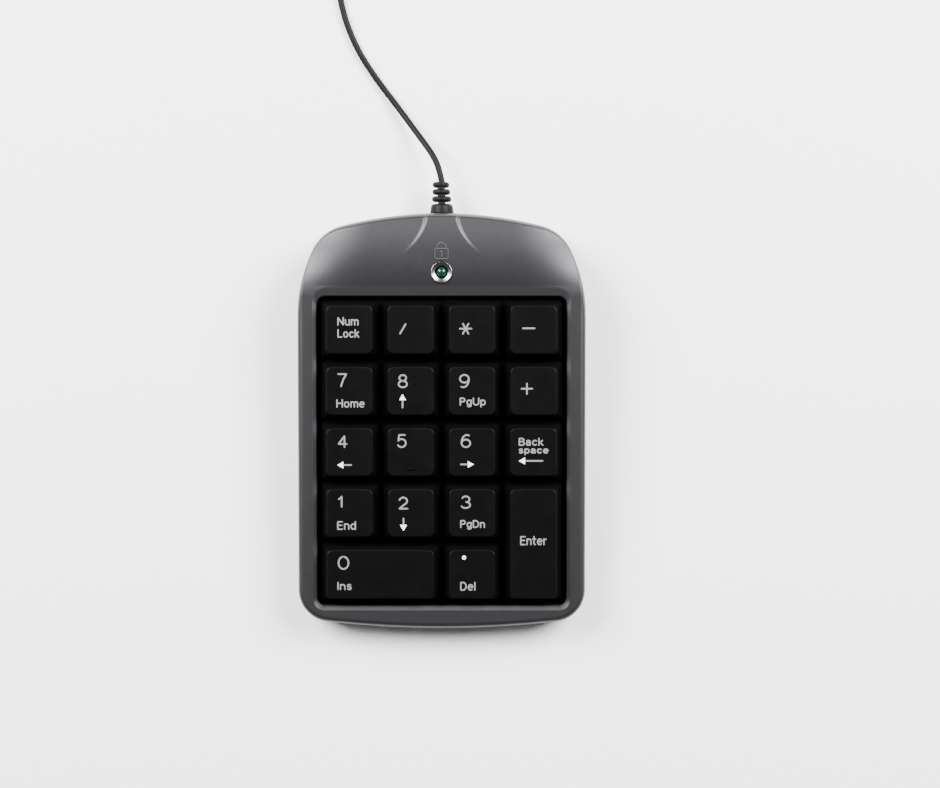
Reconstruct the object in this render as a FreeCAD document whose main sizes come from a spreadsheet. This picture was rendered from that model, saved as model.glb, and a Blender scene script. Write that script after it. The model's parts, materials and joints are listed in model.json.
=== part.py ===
"""A wired numeric keypad, as a parametric document.

Frame: +Z up, +Y to the rear where the lead leaves, +X to the right. The origin is on the surface that the
feet stand on, under the middle of the case. Sizes are millimetres.

The keys and everything under them are made flat, in a deck frame of their own (x, v, w), which is then
tilted up towards the rear. Its origin is the middle of the key field, on the underside of the steel plate.
"""
import FreeCAD, Part
import math
import os
import re

import Sketcher
from FreeCAD import Placement, Rotation, Vector

os.makedirs("parts", exist_ok=True)
doc = FreeCAD.newDocument("keypad")

# ---------------------------------------------------------------- driving sizes

SIZES = {
    # key field
    "key_pitch": 19.05,        # centre to centre of two keys
    "cap_gap": 0.85,           # between the feet of two keycaps
    "cap_top_wide": 14.4,      # finger face across
    "cap_top_long": 14.9,      # finger face front to back
    "cap_top_back": 0.25,      # how far the finger face sits behind the middle of the cap's foot
    "cap_foot_corner": 1.0,
    "cap_top_corner": 2.0,
    "cap_wall": 1.1,
    "cap_roof": 1.3,
    "cap_dish": 0.45,          # depth of the hollow in the finger face
    "cap_edge": 0.5,           # rounding round the finger face
    "travel": 3.0,             # how far a key goes down
    "press_gap": 0.3,          # what is left under a key that is pressed home
    "bump_radius": 0.45,       # the raised mark on the middle key
    "bump_long": 2.4,
    "bump_front": 5.0,
    # case outline
    "open_gap": 1.3,           # from the outer keycaps to the edge of the opening
    "open_corner": 2.6,
    "side_border": 6.0,
    "front_border": 7.1,
    "rear_deck": 26.2,
    "rear_arc": 127.0,
    "rear_corner": 14.0,
    "flank_arc": 47.0,
    "flank_run": 31.5,         # from the rear edge to where the sides start to curve in
    "front_corner": 10.0,
    "front_arc": 320.0,
    # case heights and walls
    "wall": 2.0,
    "floor_thick": 1.8,
    "foot_proud": 1.2,
    "split_height": 8.5,       # where the two covers meet
    "clear_over": 60.0,        # how far the shapes that only cut or bound reach past the case
    "clear_side": 6.0,
    "near": 0.01,              # how close two edges count as level
    "edge_roll": 2.4,          # rounding along the top cover's outer edge
    "base_roll": 1.4,          # rounding along the bottom cover's lower edge
    "rim_step": 1.0,           # height and width of the tongue between the covers
    "rim_slack": 0.1,
    "rim_root": 1.0,           # of the tongue inside its own cover
    "deck_tilt": 4.0,          # degrees
    "deck_clear": 0.3,         # under the front edge of the steel plate
    "bezel_rise": 9.0,         # of the flat rim round the keys, above the deck frame
    "hump_rise": 1.0,          # of the rear deck above that rim
    "hump_side": 1.2,          # how far the rear deck falls towards its sides
    "hump_back": 3.5,          # how far it falls towards the rear edge
    "hump_start": 3.4,         # from the opening to the foot of the rise
    "hump_crest": 12.0,        # from the opening to the top of the rise
    "lip_thick": 1.3,
    "lip_gap": 0.2,
    # layers of the deck
    "plate_thick": 0.8,
    "plate_inset": 0.4,        # of the plate and the sheets inside the key frame's edge
    "film_thick": 0.1,
    "rubber_thick": 0.4,
    "dome_tall": 4.0,
    "dome_gap": 0.5,           # from a dome's foot to the walls of its chimney
    "dome_lean": 1.4,          # how much less its radius is at the head
    "dome_wall": 0.5,
    "nub_radius": 1.0,
    "nub_long": 0.8,
    "contact_radius": 2.2,     # of the holes in the middle sheet
    "frame_thick": 1.6,
    "frame_ledge": 1.2,        # of the key frame under the lip of the top cover
    "stake_radius": 1.1,
    "stake_head": 1.9,         # radius
    "stake_thick": 0.6,
    "stake_gap": 0.1,
    "chimney_hole": 9.0,
    "chimney_wall": 1.2,
    "chimney_rise": 4.9,
    "stem_gap": 0.1,
    "stem_wall": 1.0,
    "stem_cross": 1.2,
    "touch_gap": 0.05,
    # stabiliser bars of the two long keys
    "bar_radius": 0.6,
    "bar_bend": 1.5,
    "bar_half": 12.0,
    "bar_offset": 6.7,
    "bar_lift": 1.1,
    "bar_reach": 9.8,
    "bar_climb": 3.4,
    "bar_hook": 2.5,
    "bar_slack": 0.05,
    "jaw_thick": 0.45,
    "clip_offset": 6.0,
    "clip_long": 2.4,
    "tab_thick": 1.2,
    "tab_wide": 4.4,
    "tab_slack": 0.15,
    "hook_shift": 0.56,        # how far the hooks move out as the key goes down
    # fasteners
    "screw_radius": 1.1,
    "screw_long": 6.0,
    "screw_gap": 0.2,
    "head_radius": 2.1,
    "head_tall": 1.3,
    "head_gap": 0.2,
    "slot_wide": 0.6,
    "slot_long": 2.4,
    "slot_deep": 0.7,
    "pilot_slack": 0.05,
    "pilot_mouth": 1.0,        # of a screw's pilot hole in front of its pillar
    "pillar_radius": 2.4,
    "pillar_long": 22.0,       # enough to reach the cover from its foot
    "boss_radius": 3.3,
    "boss_across": 33.0,
    "boss_run": 13.5,
    "boss_tall": 3.0,
    "seat_thick": 1.1,
    "seat_gap": 0.1,
    # front catches
    "catch_across": 20.0,
    "catch_wide": 8.0,
    "catch_root": 6.0,         # how far a catch runs up into the top cover
    "nib_wide": 6.0,
    "catch_thick": 1.1,
    "catch_drop": 3.2,
    "catch_nib": 0.6,
    "catch_gap": 0.2,
    # ribs under the plate
    "rib_thick": 1.4,
    "rib_wide": 66.0,
    "rib_spacing": 38.0,
    "rib_gap": 0.1,
    "root_depth": 0.9,         # of ribs and posts into the floor
    # control board at the rear of the deck
    "board_wide": 56.0,
    "board_long": 13.0,
    "board_thick": 1.2,
    "board_gap": 2.4,
    "tail_wide": 46.0,
    "tail_long": 4.2,
    "clamp_thick": 2.0,
    "clamp_long": 4.0,
    "clamp_start": 0.3,
    "clamp_wide": 50.0,
    "clamp_across": 20.0,
    "post_radius": 2.2,
    "header_wide": 7.0,
    "header_long": 4.6,
    "header_tall": 3.4,
    "header_back": 0.4,
    "header_wall": 0.8,
    "chip_wide": 6.0,
    "chip_long": 4.0,
    "chip_tall": 1.5,
    "chip_left": 12.0,
    "chip_back": 4.2,          # from the clamp to its middle, as for the other parts on the board
    "chip_stand": 0.1,
    "pin_wide": 0.4,
    "pin_thick": 0.35,
    "pin_reach": 0.8,          # beyond the chip's sides
    "pin_pitch": 0.7,
    "crystal_radius": 1.5,
    "crystal_long": 6.0,
    "crystal_right": 11.5,
    "crystal_back": 6.0,
    "bit_wide": 1.6,           # a small ceramic part
    "bit_long": 0.8,
    "bit_tall": 0.5,
    "wire_radius": 0.35,
    "wire_up": 1.7,            # of the wires over the board
    "wire_bend": 1.0,
    "wire_rise_run": 1.2,
    "wire_last_run": 2.2,
    "wire_pitch": 1.5,
    "wire_close": 0.9,
    # indicator
    "lamp_radius": 1.9,
    "lamp_flange": 2.3,        # radius
    "lamp_flange_thick": 1.0,
    "lamp_stand": 1.35,        # of the lamp over the clamp
    "lamp_sunk": 0.3,
    "lamp_run": 7.6,           # from the opening to the lamp
    "lamp_slack": 0.1,
    "lead_radius": 0.25,
    "lead_half": 1.27,
    "ring_sunk": 0.15,         # under the crest of the rear deck
    "ring_outer": 3.3,
    "ring_flange": 0.9,
    "ring_barrel": 2.75,
    "ring_inner": 2.15,
    "ring_deep": 2.8,
    "ring_cone": 1.3,
    "ring_rim": 0.25,
    # lead
    "cord_radius": 1.0,
    "sleeve_block": 3.75,      # half the width of the block next to the case
    "sleeve_block_long": 3.1,
    "sleeve_neck": 3.0,
    "sleeve_slack": 0.05,
    "sleeve_inner": 1.2,
    "sleeve_set": 0.25,        # of the block off the rear wall
    "sleeve_rib": 1.5,
    "sleeve_slot": 0.75,
    "sleeve_web": 1.2,
    "sleeve_tall": 2.3,
    "sleeve_first": 3.1,       # radius of the first rib
    "sleeve_taper": 0.22,      # less at each rib
    "coil_radius": 11.5,
    "coil_half": 3.2,
    "coil_tall": 6.3,
    "coil_lift": 0.3,
    "coil_round": 1.2,
    "coil_left": 22.0,
    "coil_run": 78.37,         # from the tip of the strain relief to the coil's middle
    "tie_wide": 3.2,
    "tie_thick": 0.3,
    "plug_start": 4.0,         # where the plug begins, to the right of the middle
    "plug_run": 87.87,         # from the same tip to the plug's middle
    "plug_long": 22.0,
    "plug_wide": 14.5,
    "plug_tall": 7.4,
    "plug_round": 1.6,
    "shell_long": 12.0,
    "shell_wide": 12.0,
    "shell_tall": 4.5,
    "shell_wall": 0.3,
    "shell_hole": 2.2,
    "shell_hole_out": 5.2,
    "shell_hole_across": 2.6,
    "tongue_thick": 1.9,
    "tongue_short": 0.6,
    "finger_wide": 1.0,
    "finger_thick": 0.15,
    "finger_long": 8.0,
    "finger_pitch": 2.3,
    # feet and label
    "foot_radius": 4.5,
    "foot_round": 0.4,
    "foot_sunk": 0.6,
    "foot_slack": 0.1,
    "foot_across": 32.0,
    "foot_front": 9.5,
    "foot_rear": 26.0,
    "label_wide": 46.0,
    "label_long": 30.0,
    "label_corner": 2.0,
    "label_thick": 0.15,
    "label_sunk": 0.25,
    "label_slack": 0.3,
}

# Worked out from the sizes by a second sheet, so that every piece takes them from one place.
LEVELS = {
    "lean": "cos(deck_tilt * 1deg)",
    "slope": "sin(deck_tilt * 1deg)",
    "cap_base": "key_pitch - cap_gap",
    "open_wide": "4 * key_pitch - cap_gap + 2 * open_gap",
    "open_long": "5 * key_pitch - cap_gap + 2 * open_gap",
    "open_flat": "open_long * lean",
    "case_width": "open_wide + 2 * side_border",
    "case_length": "open_flat + front_border + rear_deck",
    "case_floor": "foot_proud + floor_thick",
    "film_level": "plate_thick",
    "rubber_level": "plate_thick + 3 * film_thick",
    "frame_level": "rubber_level + rubber_thick",
    "frame_top": "frame_level + frame_thick",
    "dome_top": "rubber_level + dome_tall",
    "dome_foot": "chimney_hole / 2 - dome_gap",
    "dome_head": "dome_foot - dome_lean",
    "skirt_level": "frame_top + travel + press_gap",
    "chimney_top": "frame_top + chimney_rise",
    "chimney_wide": "chimney_hole + 2 * chimney_wall",
    "roof_level": "chimney_top + travel + press_gap",
    "cap_level": "roof_level + cap_roof + cap_dish",
    "stem_level": "dome_top + touch_gap",
    "stem_wide": "chimney_hole - 2 * stem_gap",
    "bar_level": "frame_top + bar_lift",
    "hook_level": "bar_level + bar_climb",
    "frame_wide": "open_wide + 2 * frame_ledge",
    "frame_long": "open_long + 2 * frame_ledge",
    "sheet_wide": "frame_wide - 2 * plate_inset",
    "sheet_long": "frame_long - 2 * plate_inset",
    "deck_rise": "case_floor + deck_clear + (sheet_long / 2) * slope",
    "deck_back": "front_border - case_length / 2 + open_flat / 2 + bezel_rise * slope",
    "open_rear": "case_length / 2 - rear_deck",
    "board_front": "open_long / 2 + board_gap",
    "board_level": "plate_thick - board_thick",
    "clamp_level": "film_level + film_thick",
    "clamp_middle": "board_front + clamp_start + clamp_long / 2",
    "lamp_middle": "open_long / 2 + lamp_run",
    "ring_level": "bezel_rise + hump_rise - ring_sunk",
    "lamp_level": "clamp_level + clamp_thick + lamp_stand",
    "lamp_tall": "ring_level - lamp_sunk - lamp_level",
    "seat_level": "case_floor + boss_tall",
    "pillar_level": "seat_level + seat_thick + seat_gap",
    "front_bow": "front_arc - (front_arc ^ 2 - (catch_across + catch_wide / 2) ^ 2) ^ 0.5",
    "wall_inside": "case_length / 2 - wall",
    "sleeve_start": "case_length / 2 + sleeve_set",
    "sleeve_tip": "sleeve_start + sleeve_block_long + 3 * (sleeve_rib + sleeve_slot)",
    "coil_back": "sleeve_tip + coil_run",
    "plug_back": "sleeve_tip + plug_run",
}

PREFIX = {**{n: "Sizes." for n in SIZES}, **{n: "Levels." for n in LEVELS}}


def expr(text):
    """The text with each name of a size or level turned into its cell."""
    return re.sub(r"[a-z_]+", lambda m: PREFIX.get(m.group(), "") + m.group(), str(text))


def fill(sheet_name, rows, as_cell):
    made = doc.addObject("Spreadsheet::Sheet", sheet_name)
    for i, (alias, content) in enumerate(rows.items(), start=1):
        made.set(f"A{i}", alias.replace("_", " "))
        made.set(f"B{i}", as_cell(content))
        made.setAlias(f"B{i}", alias)
    return made


sizes = fill("Sizes", SIZES, str)
doc.recompute()
levels = fill("Levels", LEVELS, lambda content: "=" + expr(content))
doc.recompute()


def mm(text):
    """The number that a size, a level or a sum of them comes to."""
    result = sizes.evalExpression(expr(text))
    return float(getattr(result, "Value", result))


# ---------------------------------------------------------------- helpers

SUBPARTS = []


def subpart(made, label):
    made.Label = label
    SUBPARTS.append(made)
    return made


def add(kind, **bound):
    made = doc.addObject(kind, "Piece")
    for name, text in bound.items():
        made.setExpression(name, expr(text))
    return made


def move(made, x="0", y="0", z="0"):
    for axis, text in zip("xyz", (x, y, z)):
        made.setExpression(f"Placement.Base.{axis}", expr(text))
    return made


def on_deck(made, x="0", v="0", w="0"):
    """Puts a piece that is made flat on the tilted deck, its origin at (x, v, w) there."""
    base = f"{x}; deck_back + ({v}) * lean - ({w}) * slope; deck_rise + ({v}) * slope + ({w}) * lean"
    made.setExpression("Placement", expr(f"placement(vector({base}); rotation(vector(1; 0; 0); deck_tilt))"))
    return made


def block(wide, long, tall, x="0", y="0", z="0"):
    """A box centred on (x, y) that stands on z."""
    made = add("Part::Box", Length=wide, Width=long, Height=tall)
    return move(made, f"({x}) - ({wide}) / 2", f"({y}) - ({long}) / 2", z)


def rod(radius, tall, x="0", y="0", z="0", along="Z"):
    """A cylinder whose start is at (x, y, z)."""
    made = add("Part::Cylinder", Radius=radius, Height=tall)
    axis = {"X": Vector(1, 0, 0), "Y": Vector(0, 1, 0), "Z": Vector(0, 0, 1)}[along]
    made.Placement = Placement(Vector(), Rotation(Vector(0, 0, 1), axis))
    return move(made, x, y, z)


def cone(foot, head, tall, x="0", y="0", z="0"):
    return move(add("Part::Cone", Radius1=foot, Radius2=head, Height=tall), x, y, z)


def fuse(*pieces):
    if len(pieces) == 1:
        return pieces[0]
    made = doc.addObject("Part::MultiFuse", "Joined")
    made.Shapes = list(pieces)
    return made


def cut(base, *tools):
    made = doc.addObject("Part::Cut", "Cut")
    made.Base, made.Tool = base, fuse(*tools)
    return made


def common(*pieces):
    made = doc.addObject("Part::MultiCommon", "Shared")
    made.Shapes = list(pieces)
    return made


def group(*pieces):
    """Several loose solids as one piece."""
    made = doc.addObject("Part::Compound", "Group")
    made.Links = list(pieces)
    return made


def new_body():
    made = doc.addObject("PartDesign::Body", "Body")
    doc.recompute()
    return made


def new_sketch(body, role="XY_Plane", offset="0"):
    """A sketch on one of the body's own planes, or at an offset from it."""
    sketch = body.newObject("Sketcher::SketchObject", "Sketch")
    plane = next(f for f in body.Origin.OriginFeatures if f.Role == role)
    sketch.AttachmentSupport = [(plane, "")]
    sketch.MapMode = "FlatFace"
    sketch.setExpression("AttachmentOffset.Base.z", expr(offset))
    return sketch


def dimension(sketch, kind, *where, size):
    """One driving dimension, bound to the sheets."""
    index = sketch.addConstraint(Sketcher.Constraint(kind, *where, mm(size)))
    sketch.renameConstraint(index, f"size_{index}")
    sketch.setExpression(f"Constraints.size_{index}", expr(size))


def pin(sketch, item, end, x=None, y=None):
    """Holds a point at a distance from the sketch's origin."""
    if x is not None:
        dimension(sketch, "DistanceX", -1, 1, item, end, size=x)
    if y is not None:
        dimension(sketch, "DistanceY", -1, 1, item, end, size=y)


def draw_polygon(sketch, corners):
    """Straight lines from corner to corner, each corner a pair of sizes."""
    spots = [Vector(mm(x), mm(y), 0) for x, y in corners]
    lines = [sketch.addGeometry(Part.LineSegment(a, b)) for a, b in zip(spots, spots[1:] + spots[:1])]
    for line, after in zip(lines, lines[1:] + lines[:1]):
        sketch.addConstraint(Sketcher.Constraint("Coincident", line, 2, after, 1))
    for line, (x, y) in zip(lines, corners):
        pin(sketch, line, 1, x, y)


def draw_rectangle(sketch, wide, long, x="0", y="0"):
    left, right = f"({x}) - ({wide}) / 2", f"({x}) + ({wide}) / 2"
    front, back = f"({y}) - ({long}) / 2", f"({y}) + ({long}) / 2"
    draw_polygon(sketch, [(left, front), (right, front), (right, back), (left, back)])


def draw_rounded(sketch, wide, long, corner, y="0"):
    """A rectangle with round corners, centred on x = 0."""
    a, b, r, mid = mm(wide) / 2, mm(long) / 2, mm(corner), mm(y)
    sides = [((r - a, -b), (a - r, -b)), ((a, r - b), (a, b - r)),
             ((a - r, b), (r - a, b)), ((-a, b - r), (-a, r - b))]
    turns = [(a - r, r - b, -90), (a - r, b - r, 0), (r - a, b - r, 90), (r - a, r - b, 180)]
    lines = [sketch.addGeometry(Part.LineSegment(Vector(p[0], p[1] + mid, 0), Vector(q[0], q[1] + mid, 0)))
             for p, q in sides]
    arcs = [sketch.addGeometry(quarter(cx, cy + mid, r, start)) for cx, cy, start in turns]
    for i, (line, arc) in enumerate(zip(lines, arcs)):
        sketch.addConstraint(Sketcher.Constraint("Tangent", line, 2, arc, 1))
        sketch.addConstraint(Sketcher.Constraint("Tangent", arc, 2, lines[(i + 1) % 4], 1))
        sketch.addConstraint(Sketcher.Constraint("Vertical" if i % 2 else "Horizontal", line))
    for arc in arcs[1:]:
        sketch.addConstraint(Sketcher.Constraint("Equal", arcs[0], arc))
    dimension(sketch, "Radius", arcs[0], size=corner)
    pin(sketch, lines[0], 1, y=f"({y}) - ({long}) / 2")
    pin(sketch, lines[1], 1, x=f"({wide}) / 2")
    pin(sketch, lines[2], 1, y=f"({y}) + ({long}) / 2")
    pin(sketch, lines[3], 1, x=f"0 - ({wide}) / 2")


def quarter(x, y, radius, start):
    circle = Part.Circle(Vector(x, y, 0), Vector(0, 0, 1), radius)
    return Part.ArcOfCircle(circle, math.radians(start), math.radians(start + 90))


def draw_circle(sketch, radius, x="0", y="0"):
    item = sketch.addGeometry(Part.Circle(Vector(mm(x), mm(y), 0), Vector(0, 0, 1), mm(radius)))
    dimension(sketch, "Radius", item, size=radius)
    pin(sketch, item, 3, x, y)


def pad(body, sketch, tall):
    made = body.newObject("PartDesign::Pad", "Pad")
    made.Profile = sketch
    made.setExpression("Length", expr(tall))
    return made


def pocket(body, sketch, deep, up=False):
    """Cuts down from the sketch, or up from it."""
    made = body.newObject("PartDesign::Pocket", "Pocket")
    made.Profile = sketch
    made.Reversed = up
    made.setExpression("Length", expr(deep))
    return made


def loft(body, kind, foot, head):
    made = body.newObject(f"PartDesign::{kind}Loft", "Loft")
    made.Profile = foot
    made.Sections = [head]
    made.Ruled = True
    return made


def slab(wide, long, corner, tall, z="0"):
    """A flat body with round corners that stands on z."""
    body = new_body()
    sketch = new_sketch(body, offset=z)
    draw_rounded(sketch, wide, long, corner)
    pad(body, sketch, tall)
    return body


def round_edges(body, base, radius, wanted):
    """Rounds the edges of a body's feature whose boxes pass the test."""
    doc.recompute()
    names = [f"Edge{i}" for i, edge in enumerate(base.Shape.Edges, start=1) if wanted(edge.BoundBox)]
    made = body.newObject("PartDesign::Fillet", "Rounding")
    made.Base = (base, names)
    made.setExpression("Radius", expr(radius))
    return made


def bent_path(points, bend=None):
    """Straight runs joined by tangent arcs. With no bend given, each arc is as large as its runs allow."""
    edges, start, radii = [], points[0], []
    for before, corner, after in zip(points, points[1:], points[2:]):
        into, out = corner - before, after - corner
        half_turn = into.getAngle(out) / 2
        cut_back = bend * math.tan(half_turn) if bend else 0.45 * min(into.Length, out.Length)
        radii.append(cut_back / math.tan(half_turn))
        into.normalize()
        out.normalize()
        first, last = corner - into * cut_back, corner + out * cut_back
        inward = (out - into).normalize()
        middle = corner + inward * radii[-1] * (1 / math.cos(half_turn) - 1)
        edges += [Part.LineSegment(start, first).toShape(), Part.Arc(first, middle, last).toShape()]
        start = last
    edges.append(Part.LineSegment(start, points[-1]).toShape())
    return Part.Wire(edges), radii


def tube(points, radius, bend=None):
    """A round tube along a bent path."""
    path, radii = bent_path(points, bend)
    begin = path.Edges[0]
    ring = Part.Circle(points[0], begin.tangentAt(begin.FirstParameter), radius).toShape()
    made = path.makePipeShell([Part.Wire([ring])], True, False)
    return made, path.Length, radii


def feature(shape):
    """A piece whose shape is made by the lines above it."""
    made = doc.addObject("Part::Feature", "Piece")
    made.Shape = shape
    return made


# ---------------------------------------------------------------- key field

# name: column and row of the middle, columns and rows taken up
KEYS = {
    "num_lock": (0, 0, 1, 1), "divide": (1, 0, 1, 1), "multiply": (2, 0, 1, 1), "minus": (3, 0, 1, 1),
    "seven": (0, 1, 1, 1), "eight": (1, 1, 1, 1), "nine": (2, 1, 1, 1), "plus": (3, 1, 1, 1),
    "four": (0, 2, 1, 1), "five": (1, 2, 1, 1), "six": (2, 2, 1, 1), "backspace": (3, 2, 1, 1),
    "one": (0, 3, 1, 1), "two": (1, 3, 1, 1), "three": (2, 3, 1, 1), "enter": (3, 3.5, 1, 2),
    "zero": (0.5, 4, 2, 1), "point": (2, 4, 1, 1),
}


def key_place(name):
    column, row, _, _ = KEYS[name]
    return f"{column - 1.5} * key_pitch", f"{2 - row} * key_pitch"


PLACES = [key_place(name) for name in KEYS]
STAKES = [(f"{side} * key_pitch", f"{row} * key_pitch")
          for side in (-1, 1) for row in (-1.5, -0.5, 0.5, 1.5)]


def make_keycap(name):
    """A hollow cap with a dished face, and the square stem that slides in its chimney."""
    _, _, columns, rows = KEYS[name]
    more_wide, more_long = f"{columns - 1} * key_pitch", f"{rows - 1} * key_pitch"
    body = new_body()
    foot = new_sketch(body, offset="skirt_level")
    draw_rounded(foot, f"cap_base + {more_wide}", f"cap_base + {more_long}", "cap_foot_corner")
    head = new_sketch(body, offset="cap_level")
    head_wide, head_long = f"cap_top_wide + {more_wide}", f"cap_top_long + {more_long}"
    draw_rounded(head, head_wide, head_long, "cap_top_corner", "cap_top_back")
    loft(body, "Additive", foot, head)
    hollow_foot = new_sketch(body, offset="skirt_level")
    draw_rectangle(hollow_foot, f"cap_base + {more_wide} - 2 * cap_wall",
                   f"cap_base + {more_long} - 2 * cap_wall")
    hollow_head = new_sketch(body, offset="roof_level")
    share = "((roof_level - skirt_level) / (cap_level - skirt_level))"
    draw_rectangle(hollow_head,
                   f"cap_base + {more_wide} - 2 * cap_wall - {share} * (cap_base - cap_top_wide)",
                   f"cap_base + {more_long} - 2 * cap_wall - {share} * (cap_base - cap_top_long)",
                   y=f"{share} * cap_top_back")
    loft(body, "Subtractive", hollow_foot, hollow_head)
    dish = new_sketch(body, "XZ_Plane")
    bow = f"((({head_wide}) / 2) ^ 2 + cap_dish ^ 2) / (2 * cap_dish)"
    draw_circle(dish, bow, y=f"cap_level - cap_dish + {bow}")
    groove = pocket(body, dish, f"4 * ({head_long})")
    groove.Midplane = True
    top = mm("cap_level - cap_dish - near")
    round_edges(body, groove, "cap_edge", lambda box: box.ZMin > top)
    stem = new_sketch(body, offset="stem_level")
    draw_rectangle(stem, "stem_wide", "stem_wide")
    cell = "((stem_wide - 2 * stem_wall - stem_cross) / 2)"
    for across in (-1, 1):
        for along in (-1, 1):
            draw_rectangle(stem, cell, cell, f"{across} * ({cell} + stem_cross) / 2",
                           f"{along} * ({cell} + stem_cross) / 2")
    pad(body, stem, "roof_level + cap_roof / 2 - stem_level")
    if columns + rows > 2:
        add_tabs(body, columns > rows)
    if name == "five":
        add_bump(body)
    return body


def add_tabs(body, wide):
    """The two slotted tabs that hold the stabiliser bar's hooks."""
    out = "(bar_half - bar_hook / 2 - bar_radius / 2)"
    across = "(bar_reach - bar_offset)"
    tab = new_sketch(body, offset="skirt_level")
    for side in (-1, 1):
        if wide:
            draw_rectangle(tab, "tab_thick", "tab_wide", f"{side} * {out}", across)
        else:
            draw_rectangle(tab, "tab_wide", "tab_thick", f"0 - {across}", f"{side} * {out}")
    pad(body, tab, "roof_level + cap_roof / 2 - skirt_level")
    slot = new_sketch(body, "YZ_Plane" if wide else "XZ_Plane")
    middle = f"({across} + hook_shift / 2)"
    draw_rectangle(slot, "2 * (bar_radius + tab_slack) + hook_shift", "2 * (bar_radius + tab_slack)",
                   middle if wide else f"0 - {middle}", "hook_level")
    slotted = pocket(body, slot, "2 * (bar_half + bar_radius)")
    slotted.Midplane = True


def add_bump(body):
    """The raised bar that a finger finds the middle key by."""
    bump = new_sketch(body, "YZ_Plane")
    draw_circle(bump, "bump_radius", "0 - bump_front", "cap_level - cap_dish")
    raised = pad(body, bump, "bump_long")
    raised.Midplane = True


for name in KEYS:
    subpart(on_deck(make_keycap(name), *key_place(name)), f"key_{name}")


def squares(side, tall, z):
    return [block(side, side, tall, x, v, z) for x, v in PLACES]


def stabiliser_clips(name):
    """Two jaws, open to the outside, that a bar turns in."""
    x, v = key_place(name)
    wide = KEYS[name][2] > 1
    deep, tall = "(bar_radius + bar_offset - chimney_wide / 2 + chimney_wall / 2)", \
        "(bar_lift + bar_radius + bar_slack + jaw_thick)"
    out = f"(bar_offset + bar_radius - {deep} / 2)"
    for side in (-1, 1):
        if wide:
            yield block("clip_long", deep, tall, f"{x} + {side} * clip_offset", f"{v} - {out}", "frame_top")
        else:
            yield block(deep, "clip_long", tall, f"{x} + {out}", f"{v} + {side} * clip_offset", "frame_top")


def stabiliser_ways(name):
    """What is cut from the jaws for the bar."""
    x, v = key_place(name)
    round_way, bore = "(bar_radius + bar_slack)", "2 * (bar_half - bar_bend)"
    if KEYS[name][2] > 1:
        yield rod(round_way, bore, f"{x} - ({bore}) / 2", f"{v} - bar_offset", "bar_level", "X")
        yield block(bore, "bar_offset", f"2 * {round_way}", x, f"{v} - 1.5 * bar_offset",
                    f"bar_level - {round_way}")
    else:
        yield rod(round_way, bore, f"{x} + bar_offset", f"{v} - ({bore}) / 2", "bar_level", "Y")
        yield block("bar_offset", bore, f"2 * {round_way}", f"{x} + 1.5 * bar_offset", v,
                    f"bar_level - {round_way}")


def stakes(radius, tall, z):
    return [rod(radius, tall, x, v, z) for x, v in STAKES]


key_frame = fuse(slab("frame_wide", "frame_long", "open_corner + frame_ledge", "frame_thick", "frame_level"),
                 *squares("chimney_wide", "chimney_rise + frame_thick / 2", "frame_top - frame_thick / 2"),
                 *stabiliser_clips("zero"), *stabiliser_clips("enter"),
                 *stakes("stake_radius", "frame_level + frame_thick / 2", "0"),
                 *stakes("stake_head", "stake_thick", "0 - stake_thick"))
key_frame = cut(key_frame, *squares("chimney_hole", "2 * chimney_rise + frame_thick", "frame_level"),
                *stabiliser_ways("zero"), *stabiliser_ways("enter"))
subpart(on_deck(key_frame), "key_frame")


def make_bar(along_x):
    """A stabiliser bar: a straight shaft, two arms and two hooks turned inwards."""
    out, back, front = mm("bar_half"), mm("bar_reach - bar_offset"), -mm("bar_offset")
    tip, low, high = mm("bar_half - bar_hook"), mm("bar_level"), mm("hook_level")
    half = [(tip, back, high), (out, back, high), (out, front, low)]
    spots = half + [(-x, y, z) for x, y, z in reversed(half)]
    points = [Vector(x, y, z) if along_x else Vector(-y, x, z) for x, y, z in spots]
    return feature(tube(points, mm("bar_radius"), mm("bar_bend"))[0])


subpart(on_deck(make_bar(True), *key_place("zero")), "stabiliser_bar_zero")
subpart(on_deck(make_bar(False), *key_place("enter")), "stabiliser_bar_enter")

# ---------------------------------------------------------------- layers under the keys


def layer(tall, z):
    """A sheet as large as the plate, with its clearance holes for the stakes."""
    sheet = slab("sheet_wide", "sheet_long", "open_corner", tall, z)
    return sheet, stakes("stake_radius + stake_gap", tall, z)


def sheet_level(number):
    return f"film_level + {number} * film_thick"


plate, plate_holes = layer("plate_thick", "0")
subpart(on_deck(cut(plate, *plate_holes)), "backing_plate")

lower, lower_holes = layer("film_thick", sheet_level(0))
TAIL_START, TAIL_END = "(sheet_long / 2 - plate_inset)", "(board_front + tail_long)"
tail = block("tail_wide", f"{TAIL_END} - {TAIL_START}", "film_thick", "0",
             f"({TAIL_START} + {TAIL_END}) / 2", sheet_level(0))
tail_holes = [rod("screw_radius + screw_gap", "film_thick", f"{side} * clamp_across", "clamp_middle",
                  sheet_level(0)) for side in (-1, 1)]
subpart(on_deck(cut(fuse(lower, tail), *lower_holes, *tail_holes)), "membrane_lower")

middle, middle_holes = layer("film_thick", sheet_level(1))
contacts = [rod("contact_radius", "film_thick", x, v, sheet_level(1)) for x, v in PLACES]
subpart(on_deck(cut(middle, *middle_holes, *contacts)), "membrane_spacer")

upper, upper_holes = layer("film_thick", sheet_level(2))
subpart(on_deck(cut(upper, *upper_holes)), "membrane_upper")

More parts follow.
